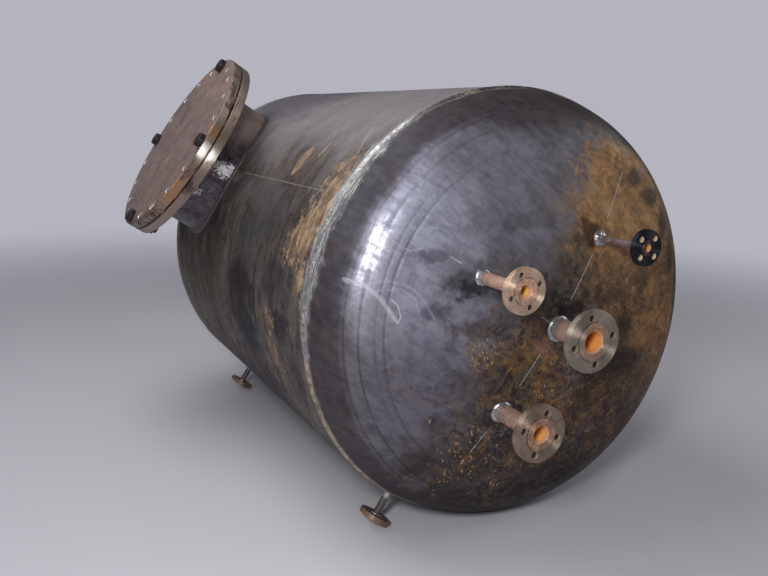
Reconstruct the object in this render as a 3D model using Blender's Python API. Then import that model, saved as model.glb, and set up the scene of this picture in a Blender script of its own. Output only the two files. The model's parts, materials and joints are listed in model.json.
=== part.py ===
# Welded steel storage tank lying on its side, with dished heads, a bolted manway and six flanged nozzles.
# Metres, +Z up, +X along the tank towards the head with four nozzles.

from math import acos, asin, atan2, cos, hypot, pi, radians, sin, sqrt

import bmesh
import bpy
from mathutils import Matrix, Vector

# Driving dimensions

gap = 0.0003              # between pieces that touch
tank_radius = 0.630
wall = 0.008
tank_sides = 40           # flat sides round the shell and heads, one of them at the very bottom

tangent_x = 0.6923        # where each head starts to curve in, from mid-length
seam_x = 0.7153           # middle of each head's weld, on the start of the curve
crown_radius = 1.550
knuckle_radius = 0.187
head_step = 0.002         # each head is this much smaller in radius than the shell

groove_half = 0.005       # weld grooves at the outer surface
root_half = 0.0006        # and at the inner surface
bead_half = 0.0075
bead_crown_half = 0.0025
bead_height = 0.0025

long_groove_half = 0.004
long_bead_half = 0.006
long_bead_height = 0.002
long_seam_angle = radians(27)   # above +Y, on the side away from the manway, in the middle of a flat side

raised_height = 0.002     # raised face on every flange
pipe_recess = 0.005       # pipe end below the raised face
pipe_inside = 0.015       # pipe end beyond the inner surface of the wall
weld_depth = 0.004        # stock under a weld, before the tank's surface trims it
pipe_sides = 16
hole_sides = 8

# Head nozzles. offset is from the tank's axis towards (manway, shell nozzles); reach is from the head to the
# flange's face; turn is the first bolt hole, from straight up towards the manway side.
head_nozzles = {
    "side": {"offset": (0.270, 0.0), "pipe": 0.01685, "bore": 0.01425, "reach": 0.179, "turn": radians(20.7),
             "flange": 0.0575, "thick": 0.016, "raised": 0.034, "circle": 0.0425, "hole": 0.007, "leg": 0.006},
    "top": {"offset": (0.0, -0.273), "pipe": 0.01065, "bore": 0.00865, "reach": 0.177, "turn": radians(46.0),
            "flange": 0.0475, "thick": 0.014, "raised": 0.0225, "circle": 0.0325, "hole": 0.007, "leg": 0.006},
    "centre": {"offset": (-0.011, 0.0), "pipe": 0.03015, "bore": 0.02725, "reach": 0.1385, "turn": radians(10.6),
               "flange": 0.0825, "thick": 0.018, "raised": 0.051, "circle": 0.0625, "hole": 0.009, "leg": 0.008},
    "low": {"offset": (0.0, 0.269), "pipe": 0.02415, "bore": 0.02155, "reach": 0.170, "turn": radians(-16.4),
            "flange": 0.075, "thick": 0.018, "raised": 0.044, "circle": 0.055, "hole": 0.009, "leg": 0.007},
}

# Two equal nozzles on the shell, in a line along its length.
shell_nozzle = {"pipe": 0.01065, "bore": 0.00865, "reach": 0.091, "turn": radians(45), "flange": 0.0475,
                "thick": 0.014, "raised": 0.0225, "circle": 0.0325, "hole": 0.007, "leg": 0.006}
shell_nozzle_x = {"front": 0.6716, "rear": -0.6332}

# Manway. Heights are from the tank's axis along the manway's own axis.
manway_x = -0.443
manway_face = 0.802
cover_thick = 0.028
flange_spacing = 0.007    # between the rims of cover and flange
neck_flange_thick = 0.030
manway_flange_radius = 0.3575
manway_raised = 0.305
neck_radius = 0.254
neck_wall = 0.008
neck_inside = 0.010
neck_recess = 0.006
neck_leg = 0.009
manway_bolt_circle = 0.325
manway_hole = 0.0165
manway_hole_count = 20
manway_turn = radians(2.0)
manway_sides = 32
gasket_bore = 0.262
gasket_radius = 0.300

bolt_radius = 0.015
bolt_across = 0.046
bolt_head = 0.0187
nut_height = 0.024
bolt_tail = 0.012         # beyond the nut
bolt_sides = 12

# Colour, roughness and metallic of each kind of surface
finishes = {
    "shell": ((0.115, 0.098, 0.085), 0.55, 0.6),
    "head": ((0.110, 0.116, 0.130), 0.42, 0.8),
    "bead": ((0.320, 0.300, 0.280), 0.38, 0.9),
    "pipe": ((0.085, 0.080, 0.080), 0.45, 0.8),
    "flange": ((0.190, 0.165, 0.150), 0.45, 0.7),
    "dark_flange": ((0.035, 0.034, 0.038), 0.45, 0.6),
    "cover": ((0.150, 0.118, 0.105), 0.55, 0.6),
    "gasket": ((0.030, 0.030, 0.032), 0.80, 0.0),
    "bolt": ((0.060, 0.062, 0.070), 0.50, 0.7),
}

# Sizes that follow from the driving dimensions

# The tank rolls until the rims of the shell nozzles' flanges touch the floor beside the seam beads.
shell_reach = tank_radius + shell_nozzle["reach"]
rim_radius = shell_nozzle["flange"]
roll = atan2(rim_radius, shell_reach) + acos((tank_radius + bead_height) / hypot(shell_reach, rim_radius))
manway_way = Vector((0.0, -cos(roll), sin(roll)))
shell_nozzle_way = Vector((0.0, -sin(roll), -cos(roll)))
front_way = Vector((1.0, 0.0, 0.0))
rear_way = Vector((-1.0, 0.0, 0.0))
up = Vector((0.0, 0.0, 1.0))

head_radius = tank_radius - head_step
crown_turn = asin((head_radius - knuckle_radius) / (crown_radius - knuckle_radius))
crown_centre_x = tangent_x - (crown_radius - knuckle_radius) * cos(crown_turn)
flat_to_corner = 1 / cos(pi / tank_sides)

tank = bpy.data.objects.new("tank_axis", None)


# Local +Z points along way, and local +X along across.
def frame_at(point, way, across):
    side = way.cross(across)
    turn = Matrix((across, side, way)).transposed()
    return Matrix.Translation(point) @ turn.to_4x4()


# A ring of points about local Z. A radius may change with the angle.
def add_ring(mesh, radius, height, sides, turn):
    if radius == 0:
        return [mesh.verts.new((0, 0, height))] * sides
    ring = []
    for step in range(sides):
        angle = turn + 2 * pi * step / sides
        reach = radius(angle - turn) if callable(radius) else radius
        ring.append(mesh.verts.new((reach * cos(angle), reach * sin(angle), height)))
    return ring


def join_rings(mesh, ring, other):
    for step in range(len(ring)):
        after = (step + 1) % len(ring)
        corners = dict.fromkeys((ring[step], ring[after], other[after], other[step]))
        if len(corners) > 2:
            mesh.faces.new(corners)


# Turns (radius, height) points about local Z. The profile closes on itself, or starts and ends on the axis.
def turned(profile, sides, turn=0.0):
    mesh = bmesh.new()
    rings = [add_ring(mesh, radius, height, sides, turn) for radius, height in profile]
    for ring, other in zip(rings, rings[1:]):
        join_rings(mesh, ring, other)
    if profile[0][0] != 0:
        join_rings(mesh, rings[-1], rings[0])
    return mesh


# Carries a closed section round local Z, where section_at gives its (radius, height) points for each angle.
def carried(section_at, sides, turn=0.0):
    mesh = bmesh.new()
    loops = []
    for step in range(sides):
        angle = turn + 2 * pi * step / sides
        points = section_at(angle)
        loops.append([mesh.verts.new((r * cos(angle), r * sin(angle), h)) for r, h in points])
    for step, loop in enumerate(loops):
        join_rings(mesh, loop, loops[(step + 1) % sides])
    bmesh.ops.triangulate(mesh, faces=mesh.faces)
    return mesh


# A bar of even section along local Z, from (side, out) points.
def bar(section, half_length):
    mesh = bmesh.new()
    ends = []
    for z in (-half_length, half_length):
        ends.append([mesh.verts.new((out, side, z)) for side, out in section])
    join_rings(mesh, ends[0], ends[1])
    mesh.faces.new(ends[0])
    mesh.faces.new(ends[1])
    return mesh


def add_object(name, mesh, place):
    bmesh.ops.recalc_face_normals(mesh, faces=mesh.faces)
    data = bpy.data.meshes.new(name)
    mesh.to_mesh(data)
    mesh.free()
    data.shade_smooth()
    data.set_sharp_from_angle(angle=radians(30))
    thing = bpy.data.objects.new(name, data)
    bpy.context.collection.objects.link(thing)
    thing.parent = tank
    thing.matrix_local = place
    return thing


def add_piece(name, mesh, place, finish):
    colour, roughness, metallic = finishes[finish]
    material = bpy.data.materials.new(name)
    material.use_nodes = True
    shader = material.node_tree.nodes["Principled BSDF"]
    shader.inputs["Base Color"].default_value = (*colour, 1.0)
    shader.inputs["Roughness"].default_value = roughness
    shader.inputs["Metallic"].default_value = metallic
    piece = add_object(name, mesh, place)
    piece.data.materials.append(material)
    return piece


def add_cutter(name, mesh, place):
    cutter = add_object(name, mesh, place)
    cutter.hide_render = True
    cutter.display_type = "WIRE"
    return cutter


def cut(piece, cutter):
    modifier = piece.modifiers.new(cutter.name, "BOOLEAN")
    modifier.operation = "DIFFERENCE"
    modifier.solver = "EXACT"
    modifier.object = cutter


# A row of round holes on a circle, from one height to another.
def hole_pattern(count, circle, radius, sides, turn, low, high):
    mesh = bmesh.new()
    for index in range(count):
        angle = turn + 2 * pi * index / count
        middle = Vector((circle * cos(angle), circle * sin(angle), 0.0))
        peg = turned([(0, low), (radius, low), (radius, high), (0, high)], sides, angle)
        bmesh.ops.translate(peg, verts=peg.verts, vec=middle)
        piece = bpy.data.meshes.new("peg")
        peg.to_mesh(piece)
        peg.free()
        mesh.from_mesh(piece)
        bpy.data.meshes.remove(piece)
    return mesh


# The head's outer profile from the pole to its edge, moved out by grow, as (radius, x) points.
def head_profile(grow, edge_x):
    points = []
    crown_steps = 4
    knuckle_steps = 4
    for step in range(crown_steps):
        angle = crown_turn * step / crown_steps
        reach = crown_radius + grow
        points.append((reach * sin(angle), crown_centre_x + reach * cos(angle)))
    edge_turn = acos((edge_x - tangent_x) / (knuckle_radius + grow))
    for step in range(knuckle_steps + 1):
        angle = crown_turn + (edge_turn - crown_turn) * step / knuckle_steps
        reach = knuckle_radius + grow
        radius = head_radius - knuckle_radius + reach * sin(angle)
        points.append((radius, tangent_x + reach * cos(angle)))
    return [(radius * flat_to_corner, x) for radius, x in points]


# The head's outer radius at x, on the knuckle.
def knuckle_edge(x):
    return head_radius - knuckle_radius + sqrt(knuckle_radius ** 2 - (x - tangent_x) ** 2)


# The head's outer surface at a distance from the axis, on the crown.
def crown_x(distance):
    return crown_centre_x + sqrt(crown_radius ** 2 - distance ** 2)


def make_shell():
    half = seam_x - groove_half
    inner_half = seam_x - root_half
    inner = tank_radius - wall
    profile = [(tank_radius, -half), (tank_radius, half), (inner, inner_half), (inner, -inner_half)]
    profile = [(radius * flat_to_corner, x) for radius, x in profile]
    mesh = turned(profile, tank_sides, pi / tank_sides)
    return add_piece("shell", mesh, frame_at(Vector(), front_way, up), "shell")


def make_head(name, way):
    outer = head_profile(0.0, seam_x + groove_half)
    inner = head_profile(-wall, seam_x + root_half)
    mesh = turned(outer + inner[::-1], tank_sides, pi / tank_sides)
    return add_piece(name, mesh, frame_at(Vector(), way, up), "head")


# The bead fills the V between shell and head, and stands proud of both.
def make_seam(name, way):
    shell_edge = tank_radius + gap
    section = [
        (tank_radius - wall, seam_x - root_half + gap),
        (shell_edge, seam_x - groove_half + gap),
        (shell_edge, seam_x - bead_half),
        (tank_radius + bead_height, seam_x - bead_crown_half),
        (tank_radius + bead_height, seam_x + bead_crown_half),
        (knuckle_edge(seam_x + bead_half) + gap, seam_x + bead_half),
        (knuckle_edge(seam_x + groove_half) + gap, seam_x + groove_half - gap),
        (knuckle_edge(seam_x) - wall, seam_x + root_half - gap),
    ]
    section = [(radius * flat_to_corner, x) for radius, x in section]
    mesh = turned(section, tank_sides, pi / tank_sides)
    return add_piece(name, mesh, frame_at(Vector(), way, up), "bead")


def make_long_seam(shell):
    out = Vector((0.0, cos(long_seam_angle), sin(long_seam_angle)))
    place = frame_at(Vector(), front_way, out)
    inner = tank_radius - wall
    half_length = seam_x - bead_half - 2 * gap
    clear = 0.005
    groove = [(-root_half, inner - clear), (root_half, inner - clear), (root_half, inner),
              (long_groove_half, tank_radius), (long_groove_half, tank_radius + clear),
              (-long_groove_half, tank_radius + clear), (-long_groove_half, tank_radius), (-root_half, inner)]
    cut(shell, add_cutter("cut_long_seam", bar(groove, half_length + gap), place))
    crown_half = long_bead_half - 0.003
    half_section = [(root_half - gap, inner), (long_groove_half - gap, tank_radius + gap),
                    (long_bead_half, tank_radius + gap), (crown_half, tank_radius + long_bead_height)]
    section = half_section + [(-side, out) for side, out in half_section[::-1]]
    return add_piece("seam_long", bar(section, half_length), place, "bead")


# Pipe, slip-on flange and both welds of one nozzle. surface gives the height of the tank's surface at a
# local point, tank_wall is the piece that the pipe goes through, and outline trims the weld to it.
def make_nozzle(name, size, place, surface, tank_wall, outline, finish="flange"):
    seat = surface(0.0, 0.0)
    face = seat + size["reach"]
    back = face - size["thick"]
    top = face + raised_height
    hole = size["pipe"] + gap
    turn = size["turn"]

    low = seat - wall - pipe_inside
    tube = [(size["pipe"], low), (size["pipe"], top - pipe_recess), (size["bore"], top - pipe_recess),
            (size["bore"], low)]
    add_piece(name + "_pipe", turned(tube, pipe_sides), place, "pipe")
    passage = turned([(0, low), (hole, low), (hole, face), (0, face)], pipe_sides)
    cut(tank_wall, add_cutter("cut_" + name, passage, place))

    flange_sides = 24
    ring = [(hole, back), (size["flange"], back), (size["flange"], face), (size["raised"], face),
            (size["raised"], top), (hole, top)]
    flange = add_piece(name + "_flange", turned(ring, flange_sides, pi / 2), place, finish)
    holes = hole_pattern(4, size["circle"], size["hole"], hole_sides, turn, back - 0.01, face + 0.01)
    cut(flange, add_cutter("cut_" + name + "_bolts", holes, place))

    leg = size["leg"]
    fillet = [(hole, back - gap), (hole, back - gap - leg), (hole + leg, back - gap)]
    add_piece(name + "_flange_weld", turned(fillet, pipe_sides), place, "bead")
    collar = add_piece(name + "_weld", collar_mesh(size["pipe"], leg, surface, pipe_sides), place, "bead")
    cut(collar, outline)


# A fillet weld round a pipe, from its side down to the tank's surface, with stock below for trimming.
def collar_mesh(pipe, leg, surface, sides):
    inner = pipe + gap
    outer = pipe + leg
    toe = 0.001

    def section_at(angle):
        at_pipe = surface(inner * cos(angle), inner * sin(angle))
        at_toe = surface(outer * cos(angle), outer * sin(angle))
        return [(inner, at_pipe - weld_depth), (inner, at_pipe + leg), (outer, at_toe + toe),
                (outer, at_toe - weld_depth)]

    return carried(section_at, sides)


def make_head_nozzles(head):
    outer = head_profile(gap, seam_x + groove_half)
    edge_radius, edge_x = outer[-1]
    solid_head = turned(outer + [(edge_radius, 0.0), (0, 0.0)], tank_sides, pi / tank_sides)
    outline = add_cutter("cut_front_outline", solid_head, frame_at(Vector(), front_way, up))
    for name, size in head_nozzles.items():
        to_manway, to_shell_nozzles = size["offset"]
        middle = manway_way * to_manway + shell_nozzle_way * to_shell_nozzles

        def surface(x, y, middle=middle):
            return crown_x(hypot(middle.z + x, middle.y - y))

        finish = "dark_flange" if name == "top" else "flange"
        place = frame_at(middle, front_way, up)
        make_nozzle(name + "_nozzle", size, place, surface, head, outline, finish)


# The shell's surface above a plane through its axis, for an axis that points straight out of it.
def shell_surface(x, y):
    return sqrt(tank_radius ** 2 - y ** 2)


def make_shell_outline():
    radius = (tank_radius + gap) * flat_to_corner
    profile = [(0, -seam_x), (radius, -seam_x), (radius, seam_x), (0, seam_x)]
    place = frame_at(Vector(), front_way, up)
    return add_cutter("cut_shell_outline", turned(profile, tank_sides, pi / tank_sides), place)


def make_shell_nozzles(shell, outline):
    for name, x in shell_nozzle_x.items():
        place = frame_at(Vector((x, 0, 0)), shell_nozzle_way, front_way)
        make_nozzle("shell_nozzle_" + name, shell_nozzle, place, shell_surface, shell, outline)


# A hexagon's reach at an angle from one of its corners.
def hexagon(across):
    def reach(angle):
        from_flat = (angle + pi / 6) % (pi / 3) - pi / 6
        return across / 2 / cos(pi / 6 - abs(from_flat))
    return reach


def make_bolt(index, place, cover_face, flange_back):
    under = cover_face + gap
    nut_top = flange_back - gap
    nut_low = nut_top - nut_height
    hexagonal = hexagon(bolt_across)
    bolt = [(0, under + bolt_head), (hexagonal, under + bolt_head), (hexagonal, under), (bolt_radius, under),
            (bolt_radius, nut_low - bolt_tail), (0, nut_low - bolt_tail)]
    add_piece(f"manway_bolt_{index}", turned(bolt, bolt_sides), place, "bolt")
    bore = bolt_radius + gap
    nut = [(bore, nut_top), (hexagonal, nut_top), (hexagonal, nut_low), (bore, nut_low)]
    add_piece(f"manway_nut_{index}", turned(nut, bolt_sides), place, "bolt")


def make_manway(shell, outline):
    place = frame_at(Vector((manway_x, 0, 0)), manway_way, front_way)
    cover_back = manway_face - cover_thick
    flange_face = cover_back - flange_spacing
    flange_back = flange_face - neck_flange_thick
    cover_raised = cover_back - raised_height
    flange_raised = flange_face + raised_height
    hole = neck_radius + gap
    rim = manway_flange_radius

    # The neck goes through the shell and is trimmed a little inside it.
    neck_top = flange_raised - neck_recess
    neck_low = 0.5
    neck_bore = neck_radius - neck_wall
    tube = [(neck_radius, neck_low), (neck_radius, neck_top), (neck_bore, neck_top), (neck_bore, neck_low)]
    neck = add_piece("manway_neck", turned(tube, manway_sides), place, "pipe")
    trim_radius = (tank_radius - wall - neck_inside) * flat_to_corner
    trim = [(0, -seam_x), (trim_radius, -seam_x), (trim_radius, seam_x), (0, seam_x)]
    trim_mesh = turned(trim, tank_sides, pi / tank_sides)
    cut(neck, add_cutter("cut_neck", trim_mesh, frame_at(Vector(), front_way, up)))
    passage = turned([(0, neck_low), (hole, neck_low), (hole, neck_top), (0, neck_top)], manway_sides)
    cut(shell, add_cutter("cut_manway", passage, place))
    collar = collar_mesh(neck_radius, neck_leg, shell_surface, manway_sides)
    cut(add_piece("manway_weld", collar, place, "bead"), outline)

    ring = [(hole, flange_back), (rim, flange_back), (rim, flange_face), (manway_raised, flange_face),
            (manway_raised, flange_raised), (hole, flange_raised)]
    flange = add_piece("manway_flange", turned(ring, manway_sides), place, "flange")
    fillet = [(hole, flange_back - gap), (hole, flange_back - gap - neck_leg), (hole + neck_leg, flange_back - gap)]
    add_piece("manway_flange_weld", turned(fillet, manway_sides), place, "bead")
    sheet = [(gasket_bore, flange_raised + gap), (gasket_radius, flange_raised + gap),
             (gasket_radius, cover_raised - gap), (gasket_bore, cover_raised - gap)]
    add_piece("manway_gasket", turned(sheet, manway_sides), place, "gasket")
    disc = [(0, manway_face), (rim, manway_face), (rim, cover_back), (manway_raised, cover_back),
            (manway_raised, cover_raised), (0, cover_raised)]
    cover = add_piece("manway_cover", turned(disc, manway_sides), place, "cover")

    holes = hole_pattern(manway_hole_count, manway_bolt_circle, manway_hole, hole_sides, manway_turn,
                         flange_back - 0.01, manway_face + 0.01)
    drill = add_cutter("cut_manway_bolts", holes, place)
    cut(flange, drill)
    cut(cover, drill)
    for index in range(4):
        angle = manway_turn + pi / 2 * index
        shift = Vector((manway_bolt_circle * cos(angle), manway_bolt_circle * sin(angle), 0.0))
        make_bolt(index + 1, place @ Matrix.Translation(shift), manway_face, flange_back)


# Puts the middle of the whole tank's footprint on the origin, with its lowest points on the floor.
def stand_on_floor():
    bpy.context.view_layer.update()
    points = []
    for thing in tank.children:
        if not thing.hide_render:
            points.extend(thing.matrix_world @ vertex.co for vertex in thing.data.vertices)
    low = Vector(min(point[axis] for point in points) for axis in range(3))
    high = Vector(max(point[axis] for point in points) for axis in range(3))
    middle = (low + high) / 2
    tank.location = (-middle.x, -middle.y, -low.z)


def main():
    for thing in list(bpy.data.objects):
        if thing is not tank:
            bpy.data.objects.remove(thing)
    bpy.context.collection.objects.link(tank)
    shell = make_shell()
    head_front = make_head("head_front", front_way)
    make_head("head_rear", rear_way)
    make_seam("seam_front", front_way)
    make_seam("seam_rear", rear_way)
    make_long_seam(shell)
    outline = make_shell_outline()
    make_manway(shell, outline)
    make_shell_nozzles(shell, outline)
    make_head_nozzles(head_front)
    stand_on_floor()


main()
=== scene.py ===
import json
import math

import bmesh
import bpy
from mathutils import Matrix, Vector, noise


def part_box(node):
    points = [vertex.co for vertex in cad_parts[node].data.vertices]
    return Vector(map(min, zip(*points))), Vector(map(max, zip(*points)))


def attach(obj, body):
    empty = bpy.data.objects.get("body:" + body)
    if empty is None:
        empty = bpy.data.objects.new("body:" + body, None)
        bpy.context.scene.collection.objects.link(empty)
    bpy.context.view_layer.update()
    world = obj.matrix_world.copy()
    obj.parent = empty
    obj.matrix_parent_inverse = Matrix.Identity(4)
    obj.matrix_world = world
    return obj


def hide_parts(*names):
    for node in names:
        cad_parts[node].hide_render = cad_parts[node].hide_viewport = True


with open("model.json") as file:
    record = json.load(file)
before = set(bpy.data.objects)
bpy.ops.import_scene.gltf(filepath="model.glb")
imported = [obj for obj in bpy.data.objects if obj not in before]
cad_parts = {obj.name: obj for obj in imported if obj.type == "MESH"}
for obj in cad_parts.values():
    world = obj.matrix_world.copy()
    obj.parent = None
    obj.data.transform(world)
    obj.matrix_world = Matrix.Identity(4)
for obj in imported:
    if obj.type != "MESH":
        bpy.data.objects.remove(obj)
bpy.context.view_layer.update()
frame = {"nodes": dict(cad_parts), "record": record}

print("frame loaded:", len(frame["nodes"]), "CAD nodes")

# Places read from the frame. The tank's own axes: +X along it, Y and Z as in the world.
mountWay = {mount["name"]: Vector(mount["axis"]) for mount in frame["record"]["mounts"]}
shellLow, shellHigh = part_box("shell")
tankMiddle = (shellLow + shellHigh) / 2
tankRadius = (shellHigh.z - shellLow.z) / 2
shellNozzleWay = mountWay["shell_nozzle_front_face"].normalized()
manwayWay = Vector((0, shellNozzleWay.z, -shellNozzleWay.y))
frontWay = Vector((1, 0, 0))
upWay = Vector((0, 0, 1))


def boxMiddle(node):
    low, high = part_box(node)
    return (low + high) / 2


def axesAt(point, way, across):  # local Z along way, local X along across
    side = way.cross(across)
    turn = Matrix((across, side, way)).transposed()
    return Matrix.Translation(tankMiddle + point) @ turn.to_4x4()


plainAxes = Matrix.Translation(tankMiddle)

tankLook = {
    "seamX": 0.7153,            # from the tank's middle to a round seam
    "tangentX": 0.6923,         # where the knuckle's arc begins
    "crownRadius": 1.550,
    "knuckleRadius": 0.187,
    "headStep": 0.002,          # a head is this much smaller than the shell
    "wall": 0.008,
    "grooveHalf": 0.005,        # half the gap under a round weld, outside and inside
    "rootHalf": 0.0006,
    "segments": 192,
    "unevenness": 0.0007,       # how far the plate strays from a true round
    "drawIn": 0.0008,           # the plate's dip beside the round welds
    "drawInReach": 0.022,
    "ringZone": (0.455, 0.590),     # the head's fine rows, where the press rings are
    "ringApproach": 0.450,          # rows draw together up to here
    "pole": 0.05,                   # the head is even this near its middle
    "headRows": (0.020, 0.0028),    # distance between rows, coarse and fine
    "innerRows": (0.030, 0.030),    # the same for the head's inside
    "endRows": (0.0, 0.006, 0.012, 0.020, 0.030, 0.042, 0.060),     # the shell's rows by its seams
}

# Meshes


def roundSteps(count):  # once round in equal steps: the angle, its cosine and its sine
    for step in range(count):
        angle = 2 * math.pi * step / count
        yield angle, math.cos(angle), math.sin(angle)


def ringRow(profilePoint, segments):  # one ring of points about local Z
    radius, height = profilePoint[:2]
    steps = roundSteps(segments)
    return [Vector((radius * cosine, radius * sine, height)) for angle, cosine, sine in steps]


def meshFromRows(rows, closeRows, slots=None):  # rows of rings joined by quads; rings on the axis merge
    mesh = bmesh.new()
    verts = [[mesh.verts.new(point) for point in row] for row in rows]
    count = len(rows)
    spans = count if closeRows else count - 1
    for index in range(spans):
        ring, other = verts[index], verts[(index + 1) % count]
        for step in range(len(ring)):
            after = (step + 1) % len(ring)
            face = mesh.faces.new((ring[step], ring[after], other[after], other[step]))
            face.smooth = True
            face.material_index = slots[index] if slots else 0
    bmesh.ops.remove_doubles(mesh, verts=mesh.verts, dist=1e-7)
    bmesh.ops.recalc_face_normals(mesh, faces=mesh.faces)
    return mesh


def turnedMesh(profile, segments, slots=None):
    return meshFromRows([ringRow(point, segments) for point in profile], profile[0][0] > 0, slots)


def roundedProfile(corners):  # corners are (radius, height, rounding)
    points = []
    steps = 3
    count = len(corners)
    for index, corner in enumerate(corners):
        here = Vector(corner[:2])
        rounding = corner[2] if len(corner) > 2 else 0
        if not rounding:
            points.append(tuple(here))
            continue
        before = (Vector(corners[index - 1][:2]) - here).normalized() * rounding
        after = (Vector(corners[(index + 1) % count][:2]) - here).normalized() * rounding
        for step in range(steps + 1):
            t = step / steps
            arc = here + before * (1 - t) ** 2 + after * t ** 2
            points.append(tuple(arc))
    return points


def finishPiece(name, mesh, place, materials, nodes=(), sharp=35):
    data = bpy.data.meshes.new(name)
    mesh.to_mesh(data)
    mesh.free()
    data.set_sharp_from_angle(angle=math.radians(sharp))
    piece = bpy.data.objects.new(name, data)
    bpy.context.scene.collection.objects.link(piece)
    piece.matrix_world = place
    for material in materials:
        data.materials.append(material)
    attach(piece, "root")
    if nodes:
        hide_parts(*nodes)
    return piece


def cutHoles(piece, cutters):  # cutters are (mesh, place); the holes are in the mesh afterwards
    tools = []
    for index, (mesh, place) in enumerate(cutters):
        data = bpy.data.meshes.new("holeTool")
        mesh.to_mesh(data)
        mesh.free()
        tool = bpy.data.objects.new("holeTool", data)
        bpy.context.scene.collection.objects.link(tool)
        tool.matrix_world = place
        modifier = piece.modifiers.new(f"hole{index}", "BOOLEAN")
        modifier.operation = "DIFFERENCE"
        modifier.solver = "EXACT"
        modifier.material_mode = "TRANSFER"
        modifier.object = tool
        tools.append(tool)
    for tool in tools:
        for material in piece.data.materials:
            tool.data.materials.append(material)
        for polygon in tool.data.polygons:
            polygon.use_smooth = True
            polygon.material_index = len(piece.data.materials) - 1
    bpy.context.view_layer.update()
    evaluated = piece.evaluated_get(bpy.context.evaluated_depsgraph_get())
    cut = bpy.data.meshes.new_from_object(evaluated)
    cut.name = piece.name
    piece.modifiers.clear()
    old = piece.data
    piece.data = cut
    bpy.data.meshes.remove(old)
    for tool in tools:
        bpy.data.meshes.remove(tool.data)
    piece.data.set_sharp_from_angle(angle=math.radians(35))


def boltPlaces(place, circle, turn, count):  # places on a bolt circle
    places = []
    for index in range(count):
        angle = turn + 2 * math.pi * index / count
        places.append(place @ Matrix.Translation((circle * math.cos(angle), circle * math.sin(angle), 0)))
    return places


def drill(radius, low, high, chamfer=0.0, segments=24):  # a hole's cutter, wider at both mouths
    beyond = 0.004
    if not chamfer:
        return turnedMesh([(0, low), (radius, low), (radius, high), (0, high)], segments)
    wide = radius + chamfer + beyond
    profile = [(0, low - beyond), (wide, low - beyond), (radius, low + chamfer), (radius, high - chamfer),
               (wide, high + beyond), (0, high + beyond)]
    return turnedMesh(profile, segments)


# The weld bead's own shape, used by every weld

beadLook = {
    "ripplePitch": 0.0055,   # metres from one ripple to the next
    "rippleDepth": 0.16,     # share of the bead's height
    "rippleCurl": 1.5,       # how far a ripple lags at the toes, in pitches
    "stepsPerRipple": 5,
    "wander": 0.18,          # share of the width and height that drifts
    "sink": 0.0003,          # metres that a bead's foot lies in the plate
}


def beadHeight(along, across, seed):  # along in metres, across from -1 to 1; 1 is the crown's full height
    drift = noise.noise(Vector((along * 22, seed, 0.3)))
    lump = noise.noise(Vector((along * 90, across * 1.3, seed + 7.1)))
    phase = along / beadLook["ripplePitch"] + beadLook["rippleCurl"] * across ** 2 + drift * 0.9
    ripple = (phase % 1) ** 0.7
    dome = max(0.0, 1 - across ** 2) ** 0.65
    return dome * (1 - beadLook["rippleDepth"] * (1 - ripple) + beadLook["wander"] * (drift + 0.5 * lump))


# Node helpers


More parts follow.
